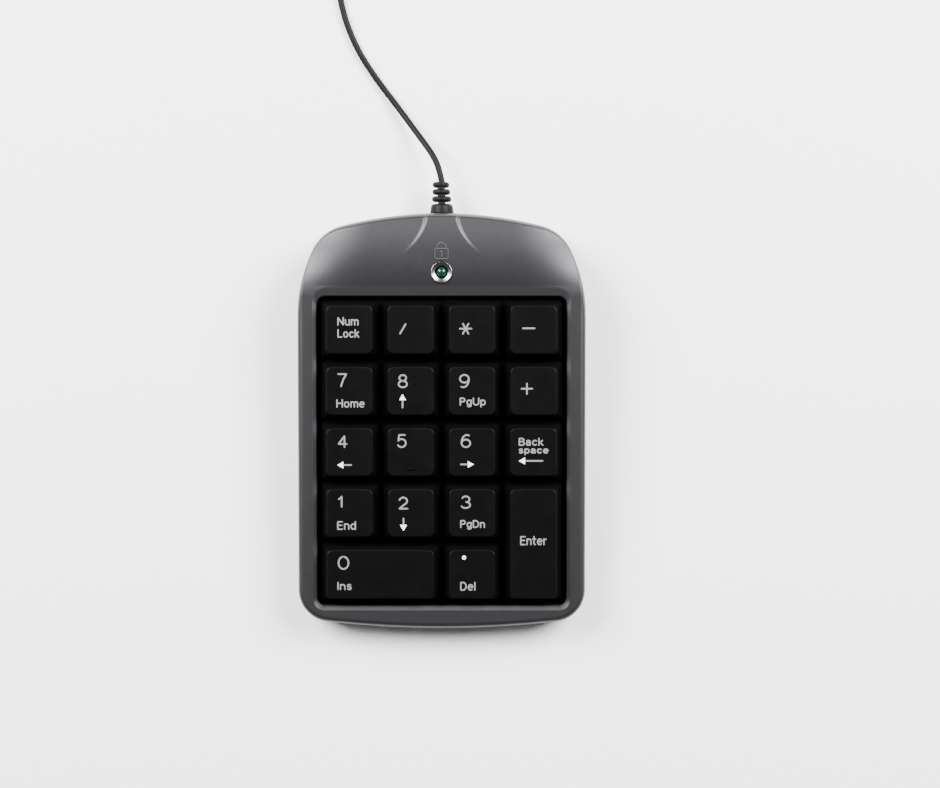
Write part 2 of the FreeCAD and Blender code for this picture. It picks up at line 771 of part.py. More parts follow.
rubber, rubber_holes = layer("rubber_thick", "rubber_level")
domes = [cone("dome_foot", "dome_head", "dome_tall", x, v, "rubber_level") for x, v in PLACES]
insides = [cone("dome_foot - dome_wall", "dome_head - dome_wall", "dome_tall - dome_wall", x, v,
                "rubber_level") for x, v in PLACES]
nubs = [rod("nub_radius", "nub_long + dome_wall", x, v, "dome_top - dome_wall - nub_long")
        for x, v in PLACES]
dome_sheet = fuse(cut(fuse(rubber, *domes), *rubber_holes, *insides), *nubs)
subpart(on_deck(dome_sheet), "dome_sheet")

# ---------------------------------------------------------------- case


def draw_outline(sketch, inset="0"):
    """The case seen from above: five arcs and two straight sides, all drawn in by the inset."""
    off = mm(inset)
    wide, long = mm("case_width") / 2, mm("case_length") / 2
    front, rear = mm("front_arc"), mm("rear_arc")
    corner, shoulder, flank = mm("front_corner"), mm("rear_corner"), mm("flank_arc")
    front_mid, rear_mid = Vector(0, front - long, 0), Vector(0, long - rear, 0)
    corner_mid = Vector(wide - corner, 0, 0)
    corner_mid.y = front_mid.y - math.sqrt((front - corner) ** 2 - corner_mid.x ** 2)
    flank_mid = Vector(wide - flank, long - mm("flank_run"), 0)
    shoulder_mid = meeting(flank_mid, flank - shoulder, rear_mid, rear - shoulder)
    half = [(front_mid, front), (corner_mid, corner), (None, 0), (flank_mid, flank),
            (shoulder_mid, shoulder), (rear_mid, rear)]
    bounds = [reach(front_mid, corner_mid, front - off), Vector(wide - off, corner_mid.y, 0),
              Vector(wide - off, flank_mid.y, 0), reach(flank_mid, shoulder_mid, flank - off),
              reach(rear_mid, shoulder_mid, rear - off)]
    flip = [Vector(-p.x, p.y, 0) for p in bounds]
    spots = [flip[0]] + bounds + list(reversed(flip))[:-1]
    around = half + [(c and Vector(-c.x, c.y, 0), r) for c, r in reversed(half[1:-1])]
    items = []
    for i, (centre, radius) in enumerate(around):
        a, b = spots[i], spots[(i + 1) % len(spots)]
        items.append(sketch.addGeometry(Part.LineSegment(a, b) if centre is None
                                        else arc_between(centre, radius - off, a, b)))
    for item, after in zip(items, items[1:] + items[:1]):
        sketch.addConstraint(Sketcher.Constraint("Tangent", item, 2, after, 1))
    bow, right_corner, right, right_flank, right_shoulder, crown_arc = items[:6]
    left_shoulder, left_flank, left, left_corner = items[6:]
    for item in (right, left):
        sketch.addConstraint(Sketcher.Constraint("Vertical", item))
    pin(sketch, right, 1, x=f"case_width / 2 - ({inset})")
    pin(sketch, left, 1, x=f"({inset}) - case_width / 2")
    pin(sketch, right_flank, 3, y="case_length / 2 - flank_run")
    pin(sketch, left_flank, 3, y="case_length / 2 - flank_run")
    pin(sketch, bow, 3, x="0", y="front_arc - case_length / 2")
    pin(sketch, crown_arc, 3, x="0", y="case_length / 2 - rear_arc")
    radii = [(bow, "front_arc"), (crown_arc, "rear_arc"), (right_corner, "front_corner"),
             (left_corner, "front_corner"), (right_shoulder, "rear_corner"), (left_shoulder, "rear_corner"),
             (right_flank, "flank_arc"), (left_flank, "flank_arc")]
    for item, size in radii:
        dimension(sketch, "Radius", item, size=f"{size} - ({inset})")


def meeting(one, one_radius, two, two_radius):
    """Where two circles cross, on the side away from the middle."""
    apart = two - one
    along = (one_radius ** 2 - two_radius ** 2 + apart.Length ** 2) / (2 * apart.Length)
    high = math.sqrt(one_radius ** 2 - along ** 2)
    apart.normalize()
    side = Vector(apart.y, -apart.x, 0)
    spots = [one + apart * along + side * high, one + apart * along - side * high]
    return max(spots, key=lambda p: p.x + p.y)


def reach(start, towards, distance):
    """The point at a distance from the start, through another point."""
    return start + (towards - start).normalize() * distance


def arc_between(centre, radius, start, end):
    turn = [math.atan2(p.y - centre.y, p.x - centre.x) for p in (start, end)]
    if turn[1] < turn[0]:
        turn[1] += 2 * math.pi
    return Part.ArcOfCircle(Part.Circle(centre, Vector(0, 0, 1), radius), *turn)


def outline_prism(inset, low, high):
    """The case's outline, drawn in by the inset, between two heights."""
    body = new_body()
    sketch = new_sketch(body, offset=low)
    draw_outline(sketch, inset)
    raised = pad(body, sketch, f"({high}) - ({low})")
    return body, raised


def crown_height(x, v):
    """How far the top of the case is above the deck frame at a place on it."""
    behind = v - mm("open_long") / 2
    climb = (behind - mm("hump_start")) / (mm("hump_crest") - mm("hump_start"))
    climb = 1 - (1 - min(max(climb, 0), 1)) ** 2
    drop = max(behind - mm("hump_crest"), 0) / (mm("rear_deck") - mm("hump_crest"))
    aside = x / (mm("case_width") / 2)
    rise = mm("hump_rise") - mm("hump_side") * aside ** 4
    return mm("bezel_rise") + rise * climb - mm("hump_back") * drop ** 2


CROWN_STEP_X, CROWN_STEP_V = 7.0, 2.4    # between the points that the curved top passes through


def crown_block(lowered="0"):
    """Everything under the top of the case, as a block with a curved top."""
    over = mm("clear_side")
    half = mm("case_width") / 2 + over / 2
    first, last = -mm("open_long / 2 + front_border") - over, mm("open_long / 2 + rear_deck") + over
    columns, rows = math.ceil(2 * half / CROWN_STEP_X), math.ceil((last - first) / CROWN_STEP_V)
    grid = []
    for i in range(columns + 1):
        x = -half + 2 * half * i / columns
        line = [first + (last - first) * j / rows for j in range(rows + 1)]
        grid.append([Vector(x, v, crown_height(x, v)) for v in line])
    surface = Part.BSplineSurface()
    surface.interpolate(grid)
    made = feature(surface.toShape().extrude(Vector(0, 0, -mm("clear_over"))))
    return on_deck(made, w=f"0 - ({lowered})")


def deck_slab(wide, long, corner, low, high):
    return on_deck(slab(wide, long, corner, f"({high}) - ({low})", low))


TOP = "split_height + clear_over"
outside, _ = outline_prism("0", "split_height", TOP)
inside, _ = outline_prism("wall", "split_height - rim_root", TOP)
crust = common(outside, crown_block())
doc.recompute()
rolled = doc.addObject("Part::Fillet", "Rolled")
rolled.Base = crust
rim = mm("split_height + rim_step")
rolled.Edges = [(i, mm("edge_roll"), mm("edge_roll")) for i, edge in enumerate(crust.Shape.Edges, start=1)
                if edge.BoundBox.ZMin > rim]
doc.recompute()

hollow = common(inside, crown_block("wall"))
inner_lip = deck_slab("open_wide", "open_long", "open_corner", "0", "bezel_rise + wall")
outer_lip = deck_slab("open_wide + 2 * lip_thick", "open_long + 2 * lip_thick", "open_corner + lip_thick",
                      "frame_top + lip_gap", "bezel_rise - wall / 2")
tongue_room, _ = outline_prism("rim_step", "split_height - rim_root", "split_height + rim_step + rim_slack")


def both_sides(make, across):
    return [make(f"{side} * ({across})") for side in (-1, 1)]


def case_pillar(x):
    return rod("pillar_radius", "pillar_long", x, "open_rear + boss_run", "pillar_level")


def case_pilot(x):
    return rod("screw_radius + pilot_slack", "screw_long", x, "open_rear + boss_run",
               "pillar_level - pilot_mouth")


FRONT_WALL = "(wall - case_length / 2 + catch_gap + front_bow)"


def catch_tab(x):
    return block("catch_wide", "catch_thick", "catch_drop + catch_root", x,
                 f"{FRONT_WALL} + catch_thick / 2", "split_height - catch_drop")


def catch_nib(x):
    return block("nib_wide", "catch_nib + catch_thick", "catch_nib * 2", x,
                 f"{FRONT_WALL} + (catch_thick - catch_nib) / 2", "split_height - catch_drop")


def catch_slot(x):
    return block("nib_wide + 2 * catch_gap", "2 * (catch_nib + catch_gap)", "2 * (catch_nib + catch_gap)", x,
                 f"{FRONT_WALL} - catch_gap", "split_height - catch_drop - catch_gap")


sleeve_hole = rod("sleeve_neck + sleeve_slack", "4 * wall", "0", "case_length / 2 - 2 * wall",
                  "split_height", "Y")
lamp_hole = on_deck(fuse(
    rod("ring_barrel + sleeve_slack", "2 * wall", "0", "lamp_middle", "ring_level - 1.5 * wall"),
    rod("ring_outer + sleeve_slack", "2 * wall", "0", "lamp_middle", "ring_level - ring_flange")))
pillars = common(fuse(*both_sides(case_pillar, "boss_across")), crown_block("wall / 2"))
tabs = common(fuse(*both_sides(catch_tab, "catch_across")), crown_block("wall / 2"))
top_cover = fuse(cut(rolled, hollow, tongue_room), outer_lip, pillars, tabs,
                 *both_sides(catch_nib, "catch_across"))
top_cover = cut(top_cover, inner_lip, sleeve_hole, lamp_hole, *both_sides(case_pilot, "boss_across"))
subpart(top_cover, "top_cover")


def deck_height(v):
    """Height of the plate's underside above the case floor, plus the root in the floor."""
    return f"((deck_rise - case_floor + ({v}) * slope + root_depth) / lean)"


def rib(v):
    return block("rib_wide", "rib_thick", f"{deck_height(v)} - rib_gap", "0", v, f"0 - {deck_height(v)}")


def board_post(x, v):
    return rod("post_radius", f"{deck_height(v)} + board_level", x, v, f"0 - {deck_height(v)}")


def board_pilot(x):
    return rod("screw_radius + pilot_slack", "screw_long", x, "clamp_middle", "clamp_level - screw_long")


def boss(x):
    return rod("boss_radius", "boss_tall + seat_thick + root_depth", x, "open_rear + boss_run",
               "case_floor - root_depth")


def head_room(x):
    return rod("head_radius + head_gap", "seat_level", x, "open_rear + boss_run", "0")


def shank_room(x):
    return rod("screw_radius + screw_gap", "2 * seat_level", x, "open_rear + boss_run", "0")


FEET = {f"foot_{end}_{hand}": (f"{side} * foot_across", along)
        for end, along in (("front", "foot_front - case_length / 2"),
                           ("rear", "case_length / 2 - foot_rear"))
        for hand, side in (("left", -1), ("right", 1))}
REST_BACK = "(board_front + board_long - post_radius)"

tray, tray_pad = outline_prism("0", "foot_proud", "split_height")
low = mm("foot_proud + near")
round_edges(tray, tray_pad, "base_roll", lambda box: box.ZMax < low)
tongue, _ = outline_prism("rim_step + rim_slack", "split_height - rim_root", "split_height + rim_step")
basin, _ = outline_prism("wall", "case_floor", TOP)
posts = [board_post(f"{side} * clamp_across", "clamp_middle") for side in (-1, 1)]
rests = [board_post(f"{side} * clamp_across", REST_BACK) for side in (-1, 1)]
ribs = [rib(f"{i} * rib_spacing") for i in (-1, 0, 1)]
foot_rooms = [rod("foot_radius + foot_slack", "foot_proud + foot_sunk", x, y) for x, y in FEET.values()]
label_room = slab("label_wide + label_slack", "label_long + label_slack", "label_corner",
                  "label_sunk", "foot_proud")
bottom_cover = fuse(cut(fuse(tray, tongue), basin), on_deck(fuse(*posts, *rests, *ribs)),
                    *both_sides(boss, "boss_across"))
bottom_cover = cut(bottom_cover, on_deck(fuse(*both_sides(board_pilot, "clamp_across"))), sleeve_hole,
                   label_room, *foot_rooms, *both_sides(head_room, "boss_across"),
                   *both_sides(shank_room, "boss_across"), *both_sides(catch_slot, "catch_across"))
subpart(bottom_cover, "bottom_cover")


def make_foot(x, y):
    body = new_body()
    sketch = new_sketch(body)
    draw_circle(sketch, "foot_radius")
    raised = pad(body, sketch, "foot_proud + foot_sunk")
    round_edges(body, raised, "foot_round", lambda box: box.ZMax < mm("near"))
    return move(body, x, y)


for name, (x, y) in FEET.items():
    subpart(make_foot(x, y), name)

label = slab("label_wide", "label_long", "label_corner", "label_thick")
subpart(move(label, z="foot_proud + label_sunk - label_thick"), "rating_label")


def screw(x, y, under_head, up):
    """A cross-head screw, its head's underside at the given height."""
    head = f"({under_head}) - head_tall" if up else under_head
    shank = under_head if up else f"({under_head}) - screw_long"
    face = head if up else f"({under_head}) + head_tall - slot_deep"
    body = fuse(rod("head_radius", "head_tall", x, y, head), rod("screw_radius", "screw_long", x, y, shank))
    return cut(body, block("slot_long", "slot_wide", "slot_deep", x, y, face),
               block("slot_wide", "slot_long", "slot_deep", x, y, face))


case_screws = [screw(f"{side} * boss_across", "open_rear + boss_run", "seat_level", True)
               for side in (-1, 1)]
subpart(group(*case_screws), "case_screws")

# ---------------------------------------------------------------- control board and indicator

board = block("board_wide", "board_long", "board_thick", "0", "board_front + board_long / 2", "board_level")
board_holes = [rod("screw_radius + screw_gap", "board_thick", f"{side} * clamp_across", "clamp_middle",
                   "board_level") for side in (-1, 1)]
lead_holes = [rod("lead_radius + stake_gap", "board_thick", f"{side} * lead_half", "lamp_middle",
                  "board_level") for side in (-1, 1)]
subpart(on_deck(cut(board, *board_holes, *lead_holes)), "controller_board")

clamp = block("clamp_wide", "clamp_long", "clamp_thick", "0", "clamp_middle", "clamp_level")
clamp_holes = [rod("screw_radius + screw_gap", "clamp_thick", f"{side} * clamp_across", "clamp_middle",
                   "clamp_level") for side in (-1, 1)]
subpart(on_deck(cut(clamp, *clamp_holes)), "membrane_clamp")
clamp_screws = [screw(f"{side} * clamp_across", "clamp_middle", "clamp_level + clamp_thick", False)
                for side in (-1, 1)]
subpart(on_deck(group(*clamp_screws)), "clamp_screws")

BEHIND = "(board_front + clamp_start + clamp_long)"
chip_body = block("chip_wide", "chip_long", "chip_tall", "0 - chip_left", f"{BEHIND} + chip_back",
                  "film_level + chip_stand")
pins = [block("pin_wide", "chip_long + 2 * pin_reach", "pin_thick", f"{i - 3.5} * pin_pitch - chip_left",
              f"{BEHIND} + chip_back", "film_level") for i in range(8)]
subpart(on_deck(fuse(chip_body, *pins)), "controller_chip")

# middle of each small part: across the board, and behind the clamp
SMALL_PARTS = [("-23", "2.2"), ("-23", "4.4"), ("-23", "6.4"), ("-6.4", "5.4"),
               ("8.0", "2.4"), ("8.0", "4.6"), ("23.5", "2.4"), ("23.5", "5.0")]
smalls = [block("bit_wide", "bit_long", "bit_tall", x, f"{BEHIND} + {v}", "film_level")
          for x, v in SMALL_PARTS]
crystal = rod("crystal_radius", "crystal_long", "crystal_right", f"{BEHIND} + crystal_back",
              "film_level + crystal_radius", "X")
subpart(on_deck(group(*smalls, crystal)), "board_components")

HEADER_MIDDLE = "(board_front + board_long - header_back - header_long / 2)"
header = cut(block("header_wide", "header_long", "header_tall", "0", HEADER_MIDDLE, "film_level"),
             block("header_wide - 2 * header_wall", "header_long", "header_tall - 2 * header_wall", "0",
                   f"{HEADER_MIDDLE} + header_long / 2", "film_level + header_wall"))
subpart(on_deck(header), "lead_header")


def deck_point(x, v, w):
    lean, slope = mm("lean"), mm("slope")
    return Vector(x, mm("deck_back") + v * lean - w * slope, mm("deck_rise") + v * slope + w * lean)


def make_wires():
    """Four thin wires from the header down into the inner end of the strain relief."""
    from_v, from_w = mm(f"{HEADER_MIDDLE} + stake_gap"), mm("film_level + wire_up")
    inner, level = mm("wall_inside - sleeve_inner - sleeve_slack"), mm("split_height")
    for i in (-1.5, -0.5, 0.5, 1.5):
        start = deck_point(i * mm("wire_pitch"), from_v, from_w)
        near = Vector(start.x, (start.y + inner) / 2 + mm("wire_rise_run"), start.z)
        down = Vector(i * mm("wire_close"), inner - mm("wire_last_run"), level)
        end = Vector(down.x, inner, level)
        yield feature(tube([start, near, down, end], mm("wire_radius"), mm("wire_bend"))[0])


subpart(group(*make_wires()), "inner_wires")

lamp = fuse(rod("lamp_flange", "lamp_flange_thick", "0", "lamp_middle", "lamp_level"),
            rod("lamp_radius", "lamp_tall - lamp_radius", "0", "lamp_middle", "lamp_level"),
            move(add("Part::Sphere", Radius="lamp_radius"), "0", "lamp_middle",
                 "lamp_level + lamp_tall - lamp_radius"))
subpart(on_deck(lamp), "status_led")
leads = [rod("lead_radius", "lamp_level - board_level", f"{side} * lead_half", "lamp_middle", "board_level")
         for side in (-1, 1)]
subpart(on_deck(group(*leads)), "led_leads")


def make_ring():
    """The metal ring round the indicator: a flange, a barrel, and a cone down to the lamp."""
    body = new_body()
    sketch = new_sketch(body, "XZ_Plane")
    bore = "lamp_radius + lamp_slack"
    draw_polygon(sketch, [(bore, "0 - ring_deep"), ("ring_barrel", "0 - ring_deep"),
                          ("ring_barrel", "0 - ring_flange"), ("ring_outer", "0 - ring_flange"),
                          ("ring_outer", "0"), ("ring_outer - ring_rim", "0"),
                          ("ring_inner", "0 - ring_cone"), ("ring_inner", "0 - (ring_cone + ring_deep) / 2"),
                          (bore, "0 - (ring_cone + ring_deep) / 2")])
    turned = body.newObject("PartDesign::Revolution", "Turned")
    turned.Profile = sketch
    turned.ReferenceAxis = (sketch, ["V_Axis"])
    turned.Angle = 360
    return body


subpart(on_deck(make_ring(), "0", "lamp_middle", "ring_level"), "led_ring")

# ---------------------------------------------------------------- lead


def lengthwise(radius, long, start):
    return rod(radius, long, "0", start, "split_height", "Y")


STEP = "(sleeve_rib + sleeve_slot)"
FIRST_RIB = "sleeve_start + sleeve_block_long + sleeve_slot"
ribs_out = [lengthwise(f"sleeve_first - {i} * sleeve_taper", "sleeve_rib", f"{FIRST_RIB} + {i} * {STEP}")
            for i in range(3)]
web = block("2 * sleeve_web", f"3 * {STEP}", "2 * sleeve_tall", "0", f"sleeve_tip - 1.5 * {STEP}",
            "split_height - sleeve_tall")
strain_relief = fuse(
    lengthwise("sleeve_block", "sleeve_inner", "wall_inside - sleeve_inner - sleeve_slack"),
    lengthwise("sleeve_neck", "sleeve_start - wall_inside + sleeve_inner", "wall_inside - sleeve_inner"),
    lengthwise("sleeve_block", "sleeve_block_long", "sleeve_start"), web, *ribs_out)
subpart(strain_relief, "strain_relief")


def cord_piece(name, points, end_trim=None):
    shape, long, radii = tube(points, mm("cord_radius"))
    section = math.pi * mm("cord_radius") ** 2
    print(f"{name}: {long:.1f} long, arcs {[round(r, 1) for r in radii]},"
          f" volume {shape.Volume:.2f} against {section * long:.2f}")
    subpart(feature(shape), name)


# the routes of both ends: across, behind the strain relief's tip, and over the surface the feet stand on
LEAD_ROUTE = [(0, 0, 8.5), (-0.75, 4.17, 8.4), (-3, 9.17, 7.4), (-7.6, 15.47, 4.6),
              (-13.6, 23.87, 1.9), (-20.5, 32.87, 1), (-26.5, 41.87, 1), (-30.8, 51.87, 1),
              (-33, 61.87, 1), (-33.6, 70.87, 1.4), (-33.5, 76.87, 1.6)]
PLUG_ROUTE = [(-22.5, 89.87, 1.6), (-17, 89.87, 1.6), (-10, 89.47, 1.8), (-3, 88.07, 3.2),
              (4, 87.87, 3.7)]


def behind_tip(route):
    return [Vector(x, mm("sleeve_tip") + y, z) for x, y, z in route]


lead_points = behind_tip(LEAD_ROUTE)
lead_points[0].z = mm("split_height")
cord_piece("cord_lead", lead_points)
cord_piece("cord_to_plug", behind_tip(PLUG_ROUTE))


def make_coil():
    """The outer shape of the wound length."""
    body = new_body()
    sketch = new_sketch(body, "XZ_Plane")
    inner, outer = "coil_radius - coil_half", "coil_radius + coil_half"
    low, high = "coil_lift", "coil_lift + coil_tall"
    draw_polygon(sketch, [(f"{inner} + coil_round", low), (f"{outer} - coil_round", low),
                          (outer, f"{low} + coil_round"), (outer, f"{high} - coil_round"),
                          (f"{outer} - coil_round", high), (f"{inner} + coil_round", high),
                          (inner, f"{high} - coil_round"), (inner, f"{low} + coil_round")])
    turned = body.newObject("PartDesign::Revolution", "Turned")
    turned.Profile = sketch
    turned.ReferenceAxis = (sketch, ["V_Axis"])
    turned.Angle = 360
    return move(body, "0 - coil_left", "coil_back")


subpart(make_coil(), "cord_coil")
tie_middle = "coil_radius - coil_left"
coil_tie = cut(block("2 * coil_half + 2 * tie_thick", "tie_wide", "coil_lift + coil_tall + tie_thick",
                     tie_middle, "coil_back"),
               block("2 * coil_half", "tie_wide", "coil_tall", tie_middle, "coil_back", "coil_lift"))
subpart(coil_tie, "coil_tie")

PLUG_TAIL, PLUG_Y, PLUG_Z = "plug_start", "plug_back", "plug_tall / 2"


def plug_block(long, wide, tall, start, lift="0"):
    """A box along the plug's axis, which runs to +X."""
    return block(long, wide, tall, f"{start} + ({long}) / 2", PLUG_Y, f"{PLUG_Z} - ({tall}) / 2 + {lift}")


def make_overmould():
    body = new_body()
    sketch = new_sketch(body, "YZ_Plane")
    draw_rounded(sketch, "plug_wide", "plug_tall", "plug_round")
    raised = pad(body, sketch, "plug_long")
    first, last = mm("near"), mm("plug_long - near")
    round_edges(body, raised, "plug_round / 2", lambda box: box.XMax < first or box.XMin > last)
    return move(body, PLUG_TAIL, PLUG_Y, PLUG_Z)


subpart(make_overmould(), "plug_overmould")
FACE = f"({PLUG_TAIL} + plug_long)"
shell = cut(plug_block("shell_long", "shell_wide", "shell_tall", FACE),
            plug_block("shell_long", "shell_wide - 2 * shell_wall", "shell_tall - 2 * shell_wall", FACE),
            *[block("shell_hole", "shell_hole", "2 * shell_tall", f"{FACE} + shell_hole_out",
                    f"{PLUG_Y} + {side} * shell_hole_across", f"{PLUG_Z} - shell_tall") for side in (-1, 1)])
subpart(shell, "plug_shell")
INNER = "(shell_tall / 2 - shell_wall)"
tongue_block = plug_block("shell_long - tongue_short", "shell_wide - 2 * shell_wall", "tongue_thick", FACE,
                          f"(tongue_thick / 2 - {INNER})")
subpart(tongue_block, "plug_tongue")
FINGER_LEVEL = f"{PLUG_Z} - {INNER} + tongue_thick"
fingers = [block("finger_long", "finger_wide", "finger_thick", f"{FACE} + shell_long / 2",
                 f"{PLUG_Y} + {i - 1.5} * finger_pitch", FINGER_LEVEL) for i in range(4)]
subpart(group(*fingers), "plug_contacts")

# ---------------------------------------------------------------- checks and files

doc.recompute()
for item in doc.Objects:
    if "Invalid" in item.State or "Error" in item.State:
        raise RuntimeError(f"{item.Name} ({item.Label}) failed: {item.State}")
for made in SUBPARTS:
    if made.Shape.isNull() or not made.Shape.isValid() or not made.Shape.Solids:
        raise RuntimeError(f"{made.Label} has no valid solid")
    made.Shape.exportStep(f"parts/{made.Label}.step")
    box = made.Shape.BoundBox
    print(f"{made.Label:20s} solids {len(made.Shape.Solids)} volume {made.Shape.Volume:9.2f}"
          f"  x {box.XMin:7.2f} {box.XMax:7.2f}  y {box.YMin:7.2f} {box.YMax:7.2f}"
          f"  z {box.ZMin:6.2f} {box.ZMax:6.2f}")
print(len(SUBPARTS), "sub-parts")
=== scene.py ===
"""The looks of the numeric keypad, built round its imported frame.

Sizes are millimetres, as in the design, and turn into metres where a mesh is made. +Z is up, +Y is the rear,
where the lead leaves. The deck is the tilted plane that the keys stand on: a place on it is (x, v, w), from
the middle of the key field on the underside of the steel plate.
"""
import bmesh
import bpy
import json
import math
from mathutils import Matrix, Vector


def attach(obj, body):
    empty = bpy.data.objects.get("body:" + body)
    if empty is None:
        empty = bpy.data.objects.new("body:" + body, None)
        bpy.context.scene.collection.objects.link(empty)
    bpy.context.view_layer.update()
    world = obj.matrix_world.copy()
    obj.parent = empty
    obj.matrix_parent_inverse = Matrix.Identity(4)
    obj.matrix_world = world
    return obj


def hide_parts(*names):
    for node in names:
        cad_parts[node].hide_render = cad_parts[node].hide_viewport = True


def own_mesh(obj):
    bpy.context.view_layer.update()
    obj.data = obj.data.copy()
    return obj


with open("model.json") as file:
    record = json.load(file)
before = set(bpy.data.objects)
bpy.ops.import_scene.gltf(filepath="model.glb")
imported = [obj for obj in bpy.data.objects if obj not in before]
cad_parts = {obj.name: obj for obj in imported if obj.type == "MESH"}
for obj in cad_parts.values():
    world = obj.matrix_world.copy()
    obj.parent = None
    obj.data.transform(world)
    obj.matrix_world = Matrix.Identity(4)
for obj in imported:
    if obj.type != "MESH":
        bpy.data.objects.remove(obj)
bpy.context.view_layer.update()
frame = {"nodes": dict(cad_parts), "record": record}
MM = 0.001

# ---------------------------------------------------------------- sizes shared with the design

PITCH, CAP_GAP = 19.05, 0.85
OPEN_GAP, OPEN_CORNER = 1.3, 2.6
OPEN_WIDE = 4 * PITCH - CAP_GAP + 2 * OPEN_GAP
OPEN_LONG = 5 * PITCH - CAP_GAP + 2 * OPEN_GAP
TILT = math.radians(4)
LEAN, SLOPE = math.cos(TILT), math.sin(TILT)
SIDE_RIM, FRONT_RIM, REAR_DECK = 6.0, 7.1, 26.2
CASE_WIDE = OPEN_WIDE + 2 * SIDE_RIM
CASE_LONG = OPEN_LONG * LEAN + FRONT_RIM + REAR_DECK
REAR_ARC, REAR_CORNER, FLANK_ARC, FLANK_RUN = 127.0, 14.0, 47.0, 31.5
FRONT_CORNER, FRONT_ARC = 10.0, 320.0
SPLIT = 8.5
WALL = 2.0
BEZEL = 9.0
LIP, LIP_FOOT = 1.3, 3.3
FRAME_LEDGE, PLATE_INSET, PLATE_FRONT = 1.2, 0.4, 3.3
DECK_RISE = PLATE_FRONT + (OPEN_LONG / 2 + FRAME_LEDGE - PLATE_INSET) * SLOPE
DECK_BACK = FRONT_RIM - CASE_LONG / 2 + OPEN_LONG * LEAN / 2 + BEZEL * SLOPE
LAMP_BACK = 7.6
LAMP_V = OPEN_LONG / 2 + LAMP_BACK
CORD = 2.0


def deck(x, v, w):
    """A place on the deck as a place in the row's frame."""
    return Vector((x, DECK_BACK + v * LEAN - w * SLOPE, DECK_RISE + v * SLOPE + w * LEAN))


def smooth(t):
    """An S-shaped ease from 0 to 1."""
    t = min(max(t, 0.0), 1.0)
    return t * t * (3 - 2 * t)


# ---------------------------------------------------------------- camera, light and floor

CAMERA_AT, LENS, SENSOR = (8.85, 8.5, 831.5), 100.0, 36.0
# The rest of the studio is in metres and watts.
SOFTBOX_AT, SOFTBOX_SIZE, SOFTBOX_POWER = Vector((0.55, 0.38, 0.62)), 0.5, 32.0
ROOM_LIGHT = 0.15
FLOOR_HALF, FLOOR_COLOUR, FLOOR_ROUGHNESS = 3.0, (0.92, 0.92, 0.92), 0.9


def make_camera():
    """Looks straight down at the keypad."""
    data = bpy.data.cameras.new("camera")
    data.lens, data.sensor_width = LENS, SENSOR
    data.clip_start, data.clip_end = 0.05, 10.0
    camera = bpy.data.objects.new("camera", data)
    camera.location = Vector(CAMERA_AT) * MM
    bpy.context.collection.objects.link(camera)
    bpy.context.scene.camera = camera


def soft_light(name, side):
    """A square softbox at the rear that faces the keypad, on the left (-1) or the right (1)."""
    data = bpy.data.lights.new(name, "AREA")
    data.shape, data.size, data.energy = "SQUARE", SOFTBOX_SIZE, SOFTBOX_POWER
    at = SOFTBOX_AT * Vector((side, 1, 1))
    lamp = bpy.data.objects.new(name, data)
    lamp.location = at
    lamp.rotation_euler = (-at).to_track_quat("-Z", "Y").to_euler()
    bpy.context.collection.objects.link(lamp)


def make_studio():
    """A pale room, two softboxes, and a plain floor."""
    world = bpy.data.worlds.new("studio")
    world.use_nodes = True
    world.node_tree.nodes["Background"].inputs["Color"].default_value = (1, 1, 1, 1)
    world.node_tree.nodes["Background"].inputs["Strength"].default_value = ROOM_LIGHT
    bpy.context.scene.world = world
    soft_light("left_softbox", -1)
    soft_light("right_softbox", 1)
    mesh = bpy.data.meshes.new("floor")
    corners = [(x * FLOOR_HALF, y * FLOOR_HALF, 0) for x, y in ((-1, -1), (1, -1), (1, 1), (-1, 1))]
    mesh.from_pydata(corners, [], [(0, 1, 2, 3)])
    floor = bpy.data.objects.new("floor", mesh)
    bpy.context.collection.objects.link(floor)
    mesh.materials.append(plain("floor_paper", FLOOR_COLOUR, FLOOR_ROUGHNESS))


# ---------------------------------------------------------------- materials


def plain(name, colour, roughness, **sockets):
    """A material with its uniform values on the shader's own sockets."""
    made = bpy.data.materials.new(name)
    made.use_nodes = True
    shader = made.node_tree.nodes["Principled BSDF"]
    shader.inputs["Base Color"].default_value = (*colour, 1)
    shader.inputs["Roughness"].default_value = roughness
    for socket, value in sockets.items():
        shader.inputs[socket.replace("_", " ")].default_value = value
    return made


def node(tree, kind, **values):
    """A node with values for its inputs, or for its own settings."""
    made = tree.nodes.new(kind)
    for name, value in values.items():
        if name in made.inputs:
            made.inputs[name].default_value = value
        else:
            setattr(made, name, value)
    return made


def maths(tree, kind, *values):
    """The result of one sum in a tree. Each value is a number or a socket."""
    made = node(tree, "ShaderNodeMath", operation=kind)
    for socket, value in zip(made.inputs, values):
        if isinstance(value, (int, float)):
            socket.default_value = value
        else:
            tree.links.new(value, socket)
    return made.outputs[0]


# Sockets of a Mix node that is set to colours.
DARK_INPUT, LIGHT_INPUT, COLOUR_OUTPUT = 6, 7, 2
SLOW_GRAIN = 40


